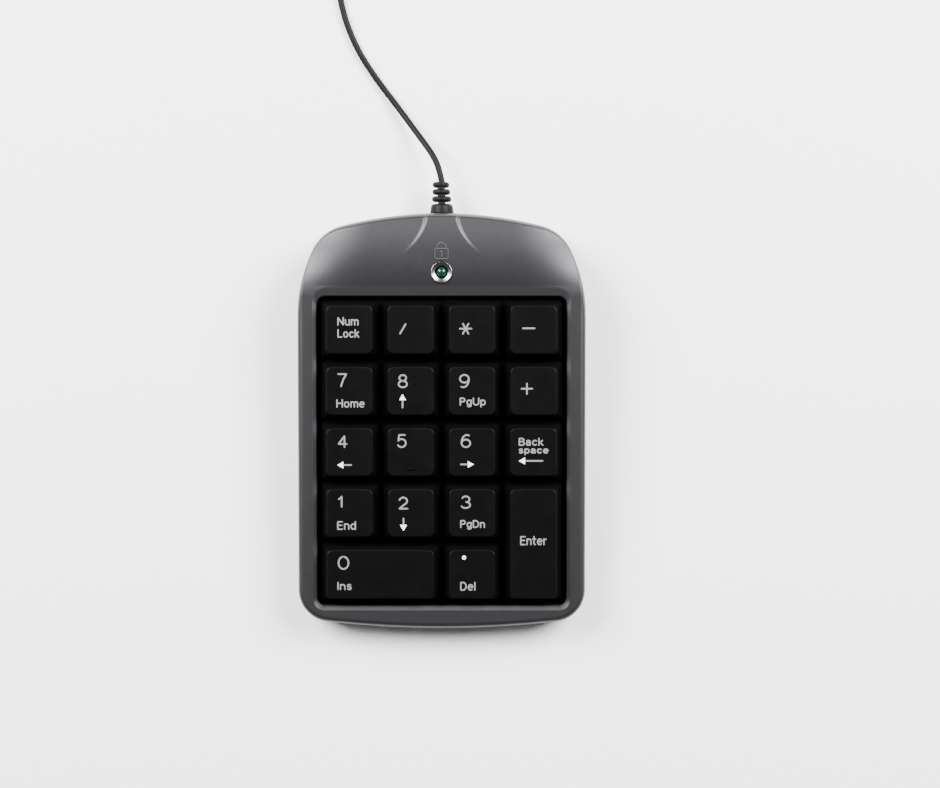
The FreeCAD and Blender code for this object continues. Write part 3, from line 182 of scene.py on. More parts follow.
def grained(name, colour, roughness, grain, depth, spread=0.15, rough_spread=0.08, stretch=(1, 1, 1),
            **sockets):
    """A moulded or painted finish: fine relief, and slow changes of colour and gloss. Grain is in mm."""
    made = plain(name, colour, roughness, **sockets)
    tree = made.node_tree
    shader, link = tree.nodes["Principled BSDF"], tree.links.new
    place = node(tree, "ShaderNodeTexCoord")
    scaled = node(tree, "ShaderNodeMapping", Scale=stretch)
    fine = node(tree, "ShaderNodeTexNoise", Scale=1 / (grain * MM), Detail=3.0, Roughness=0.55)
    slow = node(tree, "ShaderNodeTexNoise", Scale=1 / (grain * SLOW_GRAIN * MM), Detail=2.0)
    link(place.outputs["Object"], scaled.inputs["Vector"])
    link(scaled.outputs["Vector"], fine.inputs["Vector"])
    link(place.outputs["Object"], slow.inputs["Vector"])
    dark, light = [tuple(c * (1 + side * spread) for c in colour) + (1,) for side in (-1, 1)]
    tint = node(tree, "ShaderNodeMix", data_type="RGBA")
    tint.inputs[DARK_INPUT].default_value, tint.inputs[LIGHT_INPUT].default_value = dark, light
    half_slow = maths(tree, "MULTIPLY", slow.outputs["Fac"], 0.5)
    link(maths(tree, "MULTIPLY_ADD", fine.outputs["Fac"], 0.5, half_slow), tint.inputs["Factor"])
    link(tint.outputs[COLOUR_OUTPUT], shader.inputs["Base Color"])
    gloss = node(tree, "ShaderNodeMapRange")
    gloss.inputs["To Min"].default_value = roughness - rough_spread
    gloss.inputs["To Max"].default_value = roughness + rough_spread
    link(slow.outputs["Fac"], gloss.inputs["Value"])
    link(gloss.outputs["Result"], shader.inputs["Roughness"])
    bump = node(tree, "ShaderNodeBump", Strength=1.0, Distance=depth * MM)
    link(fine.outputs["Fac"], bump.inputs["Height"])
    link(bump.outputs["Normal"], shader.inputs["Normal"])
    return made


FINISHES = {
    "case_paint": grained("gunmetal_paint", (0.034, 0.034, 0.0365), 0.4, 0.05, 0.0012, 0.07, 0.02,
                          Metallic=0.75),
    "key_plastic": grained("key_abs", (0.0016, 0.0016, 0.0018), 0.42, 0.12, 0.004, Specular_IOR_Level=0.05),
    "frame_plastic": grained("frame_abs", (0.002, 0.002, 0.002), 0.55, 0.15, 0.004, Specular_IOR_Level=0.1),
    "base_plastic": grained("base_abs", (0.01, 0.01, 0.011), 0.55, 0.2, 0.012, Specular_IOR_Level=0.3),
    "steel": grained("plated_sheet", (0.5, 0.51, 0.53), 0.38, 0.3, 0.002, Metallic=1.0),
    "wire_steel": grained("spring_wire", (0.55, 0.55, 0.55), 0.25, 0.1, 0.001, stretch=(1, 8, 8),
                          Metallic=1.0),
    "screw_steel": grained("screw_plate", (0.45, 0.45, 0.47), 0.3, 0.1, 0.002, Metallic=1.0),
    "film": grained("polyester_film", (0.5, 0.55, 0.53), 0.2, 0.5, 0.001, Alpha=0.6),
    "dome_rubber": grained("silicone", (0.45, 0.47, 0.46), 0.5, 0.2, 0.002, Subsurface_Weight=0.2),
    "foot_rubber": grained("foot_rubber", (0.012, 0.012, 0.013), 0.75, 0.12, 0.006, Specular_IOR_Level=0.3),
    "label": grained("label_film", (0.36, 0.37, 0.38), 0.35, 0.1, 0.001, Metallic=0.5),
    "board": grained("solder_mask", (0.004, 0.05, 0.018), 0.3, 0.3, 0.003),
    "chip": grained("chip_resin", (0.006, 0.006, 0.007), 0.55, 0.08, 0.003),
    "components": grained("ceramic_parts", (0.2, 0.15, 0.1), 0.45, 0.1, 0.002),
    "header_plastic": grained("natural_nylon", (0.62, 0.59, 0.52), 0.45, 0.15, 0.002),
    "wires": grained("wire_cover", (0.25, 0.015, 0.015), 0.4, 0.15, 0.001),
    "tin": grained("tinned_wire", (0.6, 0.6, 0.6), 0.3, 0.08, 0.001, Metallic=1.0),
    "ring_metal": grained("satin_chrome", (0.24, 0.24, 0.25), 0.26, 0.08, 0.0006, 0.05, 0.04, Metallic=1.0),
    "cord_rubber": grained("cord_pvc", (0.004, 0.004, 0.0045), 0.5, 0.08, 0.002, Specular_IOR_Level=0.1),
    "tie": grained("tie_pvc", (0.006, 0.006, 0.006), 0.45, 0.1, 0.002, Specular_IOR_Level=0.25),
    "plug_plastic": grained("plug_pvc", (0.007, 0.007, 0.008), 0.48, 0.12, 0.004, Specular_IOR_Level=0.25),
    "plug_steel": grained("nickel_shell", (0.55, 0.54, 0.52), 0.22, 0.15, 0.001, stretch=(1, 6, 6),
                          Metallic=1.0),
    "tongue_plastic": grained("white_tongue", (0.62, 0.62, 0.62), 0.4, 0.1, 0.001),
    "gold": grained("gold_flash", (0.7, 0.48, 0.18), 0.2, 0.1, 0.001, Metallic=1.0),
    "lamp": grained("green_epoxy", (0.0015, 0.022, 0.011), 0.12, 0.3, 0.0005, Specular_IOR_Level=0.35),
    "mark_paint": grained("mark_paint", (0.03, 0.03, 0.031), 0.5, 0.05, 0.001, 0.06),
    "legend": grained("legend_ink", (0.15, 0.15, 0.15), 0.5, 0.08, 0.001, 0.06, Specular_IOR_Level=0.2),
}


def dress_nodes():
    """Gives each carried-over node the finish of its slot."""
    for part in frame["record"]["subparts"]:
        materials = frame["nodes"][part["node"]].data.materials
        materials.clear()
        materials.append(FINISHES[part["material_slot"]])


# ---------------------------------------------------------------- mesh helpers


def piece(name, verts, faces, finish, body="case", flat=False):
    """A mesh piece from places in mm, which rides on a body."""
    mesh = bpy.data.meshes.new(name)
    mesh.from_pydata([tuple(v * MM for v in p) for p in verts], [], faces)
    mesh.materials.append(FINISHES[finish])
    made = bpy.data.objects.new(name, mesh)
    bpy.context.collection.objects.link(made)
    if not flat:
        mesh.shade_smooth()
    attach(made, body)
    return made


def rings_to_faces(rings, around, closed=True):
    """Quads between rings of points that each go once round."""
    faces = []
    for i in range(rings if closed else rings - 1):
        low, high = i * around, (i + 1) % rings * around
        faces += [(low + j, low + (j + 1) % around, high + (j + 1) % around, high + j) for j in range(around)]
    return faces


def solid_faces(rings, around):
    """Quads between rings, and a flat face on the first ring and on the last."""
    last = (rings - 1) * around
    ends = [tuple(reversed(range(around))), tuple(range(last, last + around))]
    return rings_to_faces(rings, around, closed=False) + ends


def point_outwards(made):
    """Turns every face of a closed piece outwards."""
    work = bmesh.new()
    work.from_mesh(made.data)
    bmesh.ops.recalc_face_normals(work, faces=work.faces)
    work.to_mesh(made.data)
    work.free()


def subtract(made, cutters):
    """Cuts closed shapes out of a piece for good."""
    for cutter in cutters:
        hole = made.modifiers.new("hole", "BOOLEAN")
        hole.operation, hole.solver, hole.object = "DIFFERENCE", "EXACT", cutter
    graph = bpy.context.evaluated_depsgraph_get()
    cut = bpy.data.meshes.new_from_object(made.evaluated_get(graph))
    made.modifiers.clear()
    old, made.data = made.data, cut
    bpy.data.meshes.remove(old)
    for cutter in cutters:
        bpy.data.objects.remove(cutter)


def drill(axis_from, axis_to, radius, sides=96):
    """A closed cylinder to cut with, in mm."""
    way = (axis_to - axis_from).normalized()
    across = way.orthogonal().normalized()
    other = way.cross(across)
    verts = []
    for end in (axis_from, axis_to):
        for i in range(sides):
            turn = 2 * math.pi * i / sides
            verts.append((end + (across * math.cos(turn) + other * math.sin(turn)) * radius) * MM)
    mesh = bpy.data.meshes.new("drill")
    mesh.from_pydata(verts, [], solid_faces(2, sides))
    made = bpy.data.objects.new("drill", mesh)
    bpy.context.collection.objects.link(made)
    return made


def arc_points(centre, radius, start, end, count):
    """Points along an arc, without its last one."""
    for i in range(count):
        turn = start + (end - start) * i / count
        yield (centre[0] + radius * math.cos(turn), centre[1] + radius * math.sin(turn))


def circle_points(radius, count, centre=(0.0, 0.0)):
    """Points once round a circle, from its right."""
    return list(arc_points(centre, radius, 0.0, 2 * math.pi, count))


def line_points(start, end, count):
    """Points along a line, without its last one."""
    for i in range(count):
        yield tuple(a + (b - a) * i / count for a, b in zip(start, end))


CORNER_STEPS = 8


def rounded_rectangle(half_wide, half_long, corner, extra=0):
    """Points round a rectangle with round corners, each corner's arc with some extra points at its end."""
    points = []
    for side, end, start in ((1, 1, 0), (-1, 1, 90), (-1, -1, 180), (1, -1, 270)):
        centre = (side * (half_wide - corner), end * (half_long - corner))
        for i in range(CORNER_STEPS + extra):
            turn = math.radians(start + 90 * i / CORNER_STEPS)
            points.append((centre[0] + corner * math.cos(turn), centre[1] + corner * math.sin(turn)))
    return points


# ---------------------------------------------------------------- top cover

HUMP_RISE, HUMP_START, HUMP_CREST, HUMP_SIDE, HUMP_BACK = 1.0, 3.4, 12.0, 1.2, 2.6
SIDE_FALL, SIDE_START, SIDE_EASE = 4.0, 0.5, 16.0
SPOUT_RUN, SPOUT_LIFT, SPOUT_NECK, SPOUT_FLARE = 14.0, 0.75, 4.2, 0.0454
SPOUT_WALL, SPOUT_WALL_GROWS, SPOUT_EASE = 0.8, 0.5, 1.3
# The outer edge rolls over, and drops further over a stretch that leads to the rear.
EDGE_ROLL, REAR_ROLL, REAR_DROP = 1.8, 1.7, 4.6
REAR_START, REAR_EASE = 28.0, 26.0
MOUTH_ROLL = 0.6
BAND_SIDE, BAND_FRONT, BAND_DROP, BAND_CORNER = 1.3, 1.5, 0.4, 4.8
SEAM_GAP, SEAM_EDGE, SEAM_ROW = 0.12, 0.12, 0.35
RIM_STEP, RIM_TALL = 1.0, 1.1
CEILING_START, CEILING_SAG = 0.12, 1.6
# Radius of each hole, and for the lamp's two the level of its foot on the deck.
LAMP_HOLE, LAMP_SEAT, SLEEVE_HOLE = (2.8, 4.0), (3.34, 9.0), 3.1


def crown(x, v):
    """Height of the top cover over the deck: flat beside the keys, and domed behind the crease."""
    behind = v - OPEN_LONG / 2
    climb = 1 - (1 - min(max((behind - HUMP_START) / (HUMP_CREST - HUMP_START), 0.0), 1.0)) ** 2
    fall = max(behind - HUMP_CREST, 0.0) / (REAR_DECK - HUMP_CREST)
    aside = abs(x) / (CASE_WIDE / 2)
    side = SIDE_FALL * (max(aside - SIDE_START, 0.0) / (1 - SIDE_START)) ** 2 * smooth(behind / SIDE_EASE)
    return BEZEL + (HUMP_RISE - HUMP_SIDE * aside ** 4) * climb - HUMP_BACK * fall ** 2 - side + spout(x, v)


def spout(x, v):
    """The raised tongue that widens forwards from the lead, with a sloping wall on each side."""
    run = OPEN_LONG / 2 + REAR_DECK - v
    if run > SPOUT_RUN:
        return 0.0
    run = max(run, 0.0)
    left = 1 - run / SPOUT_RUN
    wall = SPOUT_WALL + SPOUT_WALL_GROWS * left
    past = abs(x) - SPOUT_NECK - SPOUT_FLARE * run ** 2
    return SPOUT_LIFT * left ** SPOUT_EASE * (1 - smooth(past / wall))


def top_height(x, y):
    """Height of the top cover's surface at a place seen from above, which three rounds settle."""
    w = BEZEL
    for _ in range(3):
        v = (y - DECK_BACK + w * SLOPE) / LEAN
        w = crown(x, v)
    return DECK_RISE + v * SLOPE + w * LEAN


def crossing(one, one_radius, two, two_radius):
    """Where two circles meet, on the right at the rear."""
    apart = Vector(two) - Vector(one)
    along = (one_radius ** 2 - two_radius ** 2 + apart.length ** 2) / (2 * apart.length)
    high = math.sqrt(one_radius ** 2 - along ** 2)
    way = apart.normalized()
    side = Vector((way.y, -way.x))
    return max((Vector(one) + way * along + side * s for s in (high, -high)), key=lambda p: p.x + p.y)


def bearing(start, end):
    return math.atan2(end[1] - start[1], end[0] - start[0])


# Rows of points along each stretch of half an outline.
STEPS = {"front": 64, "corner": 26, "side": 100, "flank": 44, "shoulder": 40, "rear": 120}


def mirrored(half):
    """A whole ring from its right half, which starts at the front and ends at the rear."""
    return half + [(-x, y) for x, y in reversed(half[1:-1])]


def case_ring(inset=0.0):
    """The case's outline seen from above, drawn in by the inset."""
    wide, long = CASE_WIDE / 2, CASE_LONG / 2
    front_mid, rear_mid = (0.0, FRONT_ARC - long), (0.0, long - REAR_ARC)
    corner_x = wide - FRONT_CORNER
    corner_mid = (corner_x, front_mid[1] - math.sqrt((FRONT_ARC - FRONT_CORNER) ** 2 - corner_x ** 2))
    flank_mid = (wide - FLANK_ARC, long - FLANK_RUN)
    shoulder_mid = crossing(flank_mid, FLANK_ARC - REAR_CORNER, rear_mid, REAR_ARC - REAR_CORNER)
    turns = [bearing(start, end) for start, end in
             ((front_mid, corner_mid), (flank_mid, shoulder_mid), (rear_mid, shoulder_mid))]
    half = list(arc_points(front_mid, FRONT_ARC - inset, -math.pi / 2, turns[0], STEPS["front"]))
    half += arc_points(corner_mid, FRONT_CORNER - inset, turns[0], 0, STEPS["corner"])
    half += line_points((wide - inset, corner_mid[1]), (wide - inset, flank_mid[1]), STEPS["side"])
    half += arc_points(flank_mid, FLANK_ARC - inset, 0, turns[1], STEPS["flank"])
    half += arc_points(shoulder_mid, REAR_CORNER - inset, turns[1], turns[2], STEPS["shoulder"])
    half += arc_points(rear_mid, REAR_ARC - inset, turns[2], math.pi / 2, STEPS["rear"])
    return mirrored(half + [(0.0, long - inset)])


def mouth_ring(grown=0.0, band=0.0):
    """The opening's outline on the deck, grown outwards, with a point for each point of the case's.

    With a band of 1 it's the crease, which keeps further off at the rear than at the sides.
    """
    wide = OPEN_WIDE / 2 + grown + (BAND_SIDE - grown) * band
    front = OPEN_LONG / 2 + grown + (BAND_FRONT - grown) * band
    rear = OPEN_LONG / 2 + grown + (HUMP_START - grown) * band
    corner = OPEN_CORNER + grown
    bend = corner + (BAND_CORNER - corner) * band
    knee = (CASE_LONG / 2 - FLANK_RUN - DECK_BACK) / LEAN
    half = list(line_points((0.0, -front), (wide - corner, -front), STEPS["front"]))
    half += arc_points((wide - corner, corner - front), corner, -math.pi / 2, 0, STEPS["corner"])
    half += line_points((wide, corner - front), (wide, knee), STEPS["side"])
    half += line_points((wide, knee), (wide, rear - bend), STEPS["flank"])
    half += arc_points((wide - bend, rear - bend), bend, 0, math.pi / 2, STEPS["shoulder"])
    half += line_points((wide - bend, rear), (0.0, rear), STEPS["rear"])
    return mirrored(half + [(0.0, rear)])


def make_top_cover():
    """One shell: out of the opening, over the top, down the side and back along the inside."""
    outer, mouth = case_ring(), mouth_ring()
    quarter = math.pi / 2
    rolls, bands, spans, edges, ceiling = 8, 5, 60, 16, 6
    rings = []

    def level(ring, w):
        rings.append([tuple(deck(x, v, w)) for x, v in ring])

    level(mouth, LIP_FOOT)
    level(mouth, BEZEL - BAND_DROP - 3 * MOUTH_ROLL)
    for i in range(rolls):
        turn = quarter * (1 - i / rolls)
        out, drop = MOUTH_ROLL * (1 - math.sin(turn)), MOUTH_ROLL * (1 - math.cos(turn))
        level(mouth_ring(out), BEZEL - BAND_DROP - drop)
    for i in range(bands):
        level(mouth_ring(MOUTH_ROLL, i / bands), BEZEL - BAND_DROP * (1 - i / bands))
    start = [(x, deck(x, v, BEZEL).y) for x, v in mouth_ring(MOUTH_ROLL, 1)]
    across = []
    for (sx, sy), (ox, oy) in zip(start, outer):
        there = smooth((oy - REAR_START) / REAR_EASE)
        length = math.hypot(ox - sx, oy - sy)
        roll, drop = [EDGE_ROLL + (rear - EDGE_ROLL) * there for rear in (REAR_ROLL, REAR_DROP)]
        across.append((sx, sy, ox, oy, roll / length, drop))

    def surface(line, t, lowered=0.0):
        x, y = line[0] + (line[2] - line[0]) * t, line[1] + (line[3] - line[1]) * t
        return x, y, top_height(x, y) - lowered

    for i in range(spans + 1):
        rings.append([surface(line, (1 - line[4]) * (i / spans) ** 1.25) for line in across])
    for i in range(1, edges + 1):
        turn = quarter * i / edges
        rings.append([surface(line, 1 - line[4] * (1 - math.sin(turn)), line[5] * (1 - math.cos(turn)))
                      for line in across])
    foot, step = SPLIT + SEAM_GAP, SPLIT + RIM_TALL
    for inset, z in ((0.0, foot + SEAM_ROW), (0.0, foot + SEAM_EDGE), (SEAM_EDGE, foot), (RIM_STEP, foot),
                     (RIM_STEP, step), (WALL, step)):
        rings.append([(x, y, z) for x, y in case_ring(inset)])
    inside, under = case_ring(WALL), mouth_ring(LIP)
    for i in range(1, ceiling + 1):
        ring = []
        for (ix, iy), (ux, uv) in zip(inside, under):
            uy = deck(ux, uv, BEZEL - WALL).y
            t = CEILING_START + (1 - CEILING_START) * i / ceiling if i < ceiling else 1.0
            x, y = ix + (ux - ix) * t, iy + (uy - iy) * t
            ring.append((x, y, top_height(x, y) - WALL - CEILING_SAG * (1 - t)))
        rings.append(ring)
    level(under, LIP_FOOT)
    verts = [p for ring in rings for p in ring]
    made = piece("top_cover_shell", verts, rings_to_faces(len(rings), len(outer)), "case_paint")
    point_outwards(made)
    cutters = [drill(deck(0, LAMP_V, w), deck(0, LAMP_V, BEZEL + 2 * WALL), radius)
               for radius, w in (LAMP_HOLE, LAMP_SEAT)]
    wall_ends = [Vector((0, CASE_LONG / 2 + side * 3 * WALL, SPLIT)) for side in (-1, 1)]
    subtract(made, cutters + [drill(*wall_ends, SLEEVE_HOLE)])
    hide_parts("top_cover")


# ---------------------------------------------------------------- legends

# Each glyph is (width, strokes), one unit from the baseline to the top of a capital. A stroke is a row of
# points and arcs, an arc being (centre x, centre y, radius x, radius y, first angle, last angle).
GLYPHS = {
    "0": (0.8, [[(0.4, 0.5, 0.4, 0.5, 90, 450)]]),
    "1": (0.3, [[(0.0, 0.74), (0.12, 0.8), (0.22, 0.9), (0.28, 1.0), (0.28, 0.0)]]),
    "2": (0.68, [[(0.33, 0.69, 0.32, 0.31, 165, -38), (0.0, 0.0), (0.68, 0.0)]]),
    "3": (0.68, [[(0.33, 0.75, 0.29, 0.25, 155, -80)], [(0.32, 0.26, 0.35, 0.26, 82, -155)]]),
    "4": (0.72, [[(0.53, 0.0), (0.53, 1.0), (0.0, 0.28), (0.72, 0.28)]]),
    "5": (0.68, [[(0.6, 1.0), (0.13, 1.0), (0.06, 0.5), (0.33, 0.33, 0.34, 0.33, 128, -148)]]),
    "6": (0.68, [[(0.34, 0.31, 0.34, 0.31, 180, 540)], [(0.42, 0.36, 0.42, 0.64, 184, 68)]]),
    "7": (0.66, [[(0.0, 1.0), (0.66, 1.0), (0.4, 0.55), (0.22, 0.0)]]),
    "8": (0.68, [[(0.34, 0.76, 0.28, 0.24, -90, 270)], [(0.34, 0.26, 0.34, 0.26, 90, 450)]]),
    "9": (0.68, [[(0.34, 0.69, 0.34, 0.31, 0, 360)], [(0.26, 0.64, 0.42, 0.64, 4, -112)]]),
    "N": (0.72, [[(0.0, 0.0), (0.0, 1.0), (0.72, 0.0), (0.72, 1.0)]]),
    "L": (0.55, [[(0.0, 1.0), (0.0, 0.0), (0.55, 0.0)]]),
    "H": (0.72, [[(0.0, 0.0), (0.0, 1.0)], [(0.72, 0.0), (0.72, 1.0)], [(0.0, 0.52), (0.72, 0.52)]]),
    "P": (0.6, [[(0.0, 0.0), (0.0, 1.0), (0.34, 0.74, 0.26, 0.26, 90, -90), (0.0, 0.48)]]),
    "U": (0.7, [[(0.0, 1.0), (0.35, 0.33, 0.35, 0.33, 180, 360), (0.7, 1.0)]]),
    "B": (0.64, [[(0.0, 0.0), (0.0, 1.0), (0.36, 0.77, 0.23, 0.23, 90, -90), (0.0, 0.54)],
                 [(0.36, 0.54), (0.38, 0.27, 0.26, 0.27, 90, -90), (0.0, 0.0)]]),
    "E": (0.58, [[(0.58, 1.0), (0.0, 1.0), (0.0, 0.0), (0.58, 0.0)], [(0.0, 0.53), (0.52, 0.53)]]),
    "I": (0.0, [[(0.0, 0.0), (0.0, 1.0)]]),
    "D": (0.7, [[(0.0, 0.0), (0.0, 1.0), (0.28, 0.5, 0.42, 0.5, 90, -90), (0.0, 0.0)]]),
    "a": (0.52, [[(0.24, 0.5, 0.24, 0.2, 150, 0), (0.48, 0.0)],
                 [(0.48, 0.4), (0.22, 0.19, 0.22, 0.19, 90, 300), (0.48, 0.16)]]),
    "c": (0.52, [[(0.29, 0.35, 0.29, 0.35, 48, 312)]]),
    "d": (0.54, [[(0.54, 0.0), (0.54, 1.0)], [(0.27, 0.35, 0.27, 0.35, 0, 360)]]),
    "e": (0.56, [[(0.01, 0.38), (0.57, 0.38), (0.29, 0.35, 0.29, 0.35, 12, 312)]]),
    "g": (0.54, [[(0.54, 0.7), (0.28, -0.04, 0.26, 0.22, 0, -150)], [(0.27, 0.36, 0.27, 0.34, 0, 360)]]),
    "k": (0.5, [[(0.0, 0.0), (0.0, 1.0)], [(0.46, 0.7), (0.0, 0.26)], [(0.16, 0.42), (0.5, 0.0)]]),
    "l": (0.0, [[(0.0, 0.0), (0.0, 1.0)]]),
    "m": (0.9, [[(0.0, 0.0), (0.0, 0.7)], [(0.225, 0.46, 0.225, 0.24, 180, 0), (0.45, 0.0)],
                [(0.675, 0.46, 0.225, 0.24, 180, 0), (0.9, 0.0)]]),
    "n": (0.52, [[(0.0, 0.0), (0.0, 0.7)], [(0.26, 0.44, 0.26, 0.26, 180, 0), (0.52, 0.0)]]),
    "o": (0.58, [[(0.29, 0.35, 0.29, 0.35, 90, 450)]]),
    "p": (0.54, [[(0.0, 0.7), (0.0, -0.28)], [(0.27, 0.35, 0.27, 0.35, 180, 540)]]),
    "r": (0.3, [[(0.0, 0.0), (0.0, 0.7)], [(0.27, 0.42, 0.27, 0.27, 180, 85)]]),
    "s": (0.46, [[(0.23, 0.53, 0.2, 0.17, 30, 270), (0.23, 0.18, 0.22, 0.18, 90, -150)]]),
    "t": (0.32, [[(0.12, 1.0), (0.12, 0.18), (0.3, 0.16, 0.16, 0.16, 200, 275)],
                 [(-0.04, 0.7), (0.32, 0.7)]]),
    "u": (0.52, [[(0.0, 0.7), (0.26, 0.26, 0.26, 0.26, 180, 360)], [(0.52, 0.7), (0.52, 0.0)]]),
}
LETTER_GAP = 0.3
ARC_STEP = 12
# A text no wider than this, in glyph units, keeps its glyph's own shape.
NARROWEST = 0.3
STROKE, FINE_STROKE, PROUD = 0.5, 0.42, 0.07
# A hollow of this radius is as good as flat.
FLAT_FACE = 1000.0

# Words and digits on each cap: the text, its left edge, its baseline, the height of its capitals and its
# whole width, all to the outside of the strokes, from the middle of the cap.
WORDS = {
    "num_lock": [("Num", -3.7, 1.5, 2.7, 6.6), ("Lock", -3.7, -2.25, 2.65, 6.8)],
    "seven": [("7", -3.7, 1.45, 4.3, 3.0), ("Home", -4.1, -4.95, 2.65, 8.8)],
    "eight": [("8", -4.05, 1.15, 4.3, 3.1)],
    "nine": [("9", -4.05, 1.15, 4.35, 3.25), ("PgUp", -3.9, -4.3, 2.5, 8.1)],
    "four": [("4", -3.7, 1.55, 3.95, 3.0)],
    "five": [("5", -4.4, 1.55, 4.3, 3.1)],
    "six": [("6", -3.55, 1.55, 4.3, 3.2)],
    "backspace": [("Back", -4.6, 2.2, 2.5, 7.7), ("space", -4.6, -0.22, 2.15, 9.3)],
    "one": [("1", -3.7, 1.95, 3.75, 1.75), ("End", -4.0, -5.05, 2.75, 5.9)],
    "two": [("2", -3.9, 1.35, 4.0, 3.05)],
    "three": [("3", -3.55, 1.55, 4.15, 3.2), ("PgDn", -3.75, -4.45, 2.5, 7.75)],
    "enter": [("Enter", -4.1, -0.35, 2.9, 8.3)],
    "zero": [("0", -13.35, 1.5, 4.35, 3.6), ("Ins", -13.5, -4.9, 2.6, 4.5)],
    "point": [("Del", -3.75, -5.1, 2.8, 4.8)],
}
# Plain strokes: slash, star, minus and plus.
LINES = {
    "divide": [((-3.3, -0.95), (-1.6, 1.95))],
    "multiply": [((-3.8, 0.56), (-0.25, 0.56)), ((-2.9, -1.0), (-1.15, 2.1)), ((-2.9, 2.1), (-1.15, -1.0))],
    "minus": [((-3.3, 0.67), (0.3, 0.67))],
    "plus": [((-3.7, 0.95), (-0.4, 0.95)), ((-2.05, -0.65), (-2.05, 2.55))],
}
HEAD_LONG, HEAD_PROUD = 1.75, 1.1 * PROUD
# The decimal point: its middle, radius, number of sides, height over the face, and the short stroke on it.
DOT_AT, DOT_RADIUS, DOT_SIDES, DOT_RISE, DOT_STROKE = (-2.53, 5.3), 0.62, 28, 0.04, 0.01
# Arrows: the tail, the tip, and half the width of the head.
ARROWS = {
    "eight": ((-2.57, -4.9), (-2.57, -0.75), 1.05),
    "four": ((0.45, -3.8), (-3.85, -3.8), 1.05),
    "six": ((-3.45, -3.6), (0.5, -3.6), 1.05),
    "two": ((-2.35, -1.5), (-2.35, -5.4), 1.1),
    "backspace": ((2.85, -2.5), (-4.55, -2.5), 1.1),
}


def stroke_points(pieces):
    """The points of one stroke of a glyph."""
    points = []
    for part in pieces:
        if len(part) == 2:
            points.append(part)
            continue
        cx, cy, rx, ry, first, last = part
        count = max(4, int(abs(last - first) / ARC_STEP))
        for i in range(count + 1):
            turn = math.radians(first + (last - first) * i / count)
            points.append((cx + rx * math.cos(turn), cy + ry * math.sin(turn)))
    return points


def write(text, left, base, tall, wide, stroke):
    """The strokes of a text, set between its outer edges."""
    rows, at = [], 0.0
    for letter in text:
        width, strokes = GLYPHS[letter]
        for pieces in strokes:
            rows.append([(x + at, y) for x, y in stroke_points(pieces)])
        at += width + LETTER_GAP
    length = at - LETTER_GAP
    up = tall - stroke
    along = (wide - stroke) / length if length > NARROWEST else up
    return [[(left + stroke / 2 + x * along, base + stroke / 2 + y * up) for x, y in row] for row in rows]


LINE_STEP, LINE_STACK = 0.18, 0.0015


def even(points):
    """The same line with points at an even distance, so that it can follow a hollow face."""
    made = [points[0]]
    for start, end in zip(points, points[1:]):
        count = max(1, round(math.dist(start, end) / LINE_STEP))
        made += [tuple(a + (b - a) * i / count for a, b in zip(start, end)) for i in range(1, count + 1)]
    return made


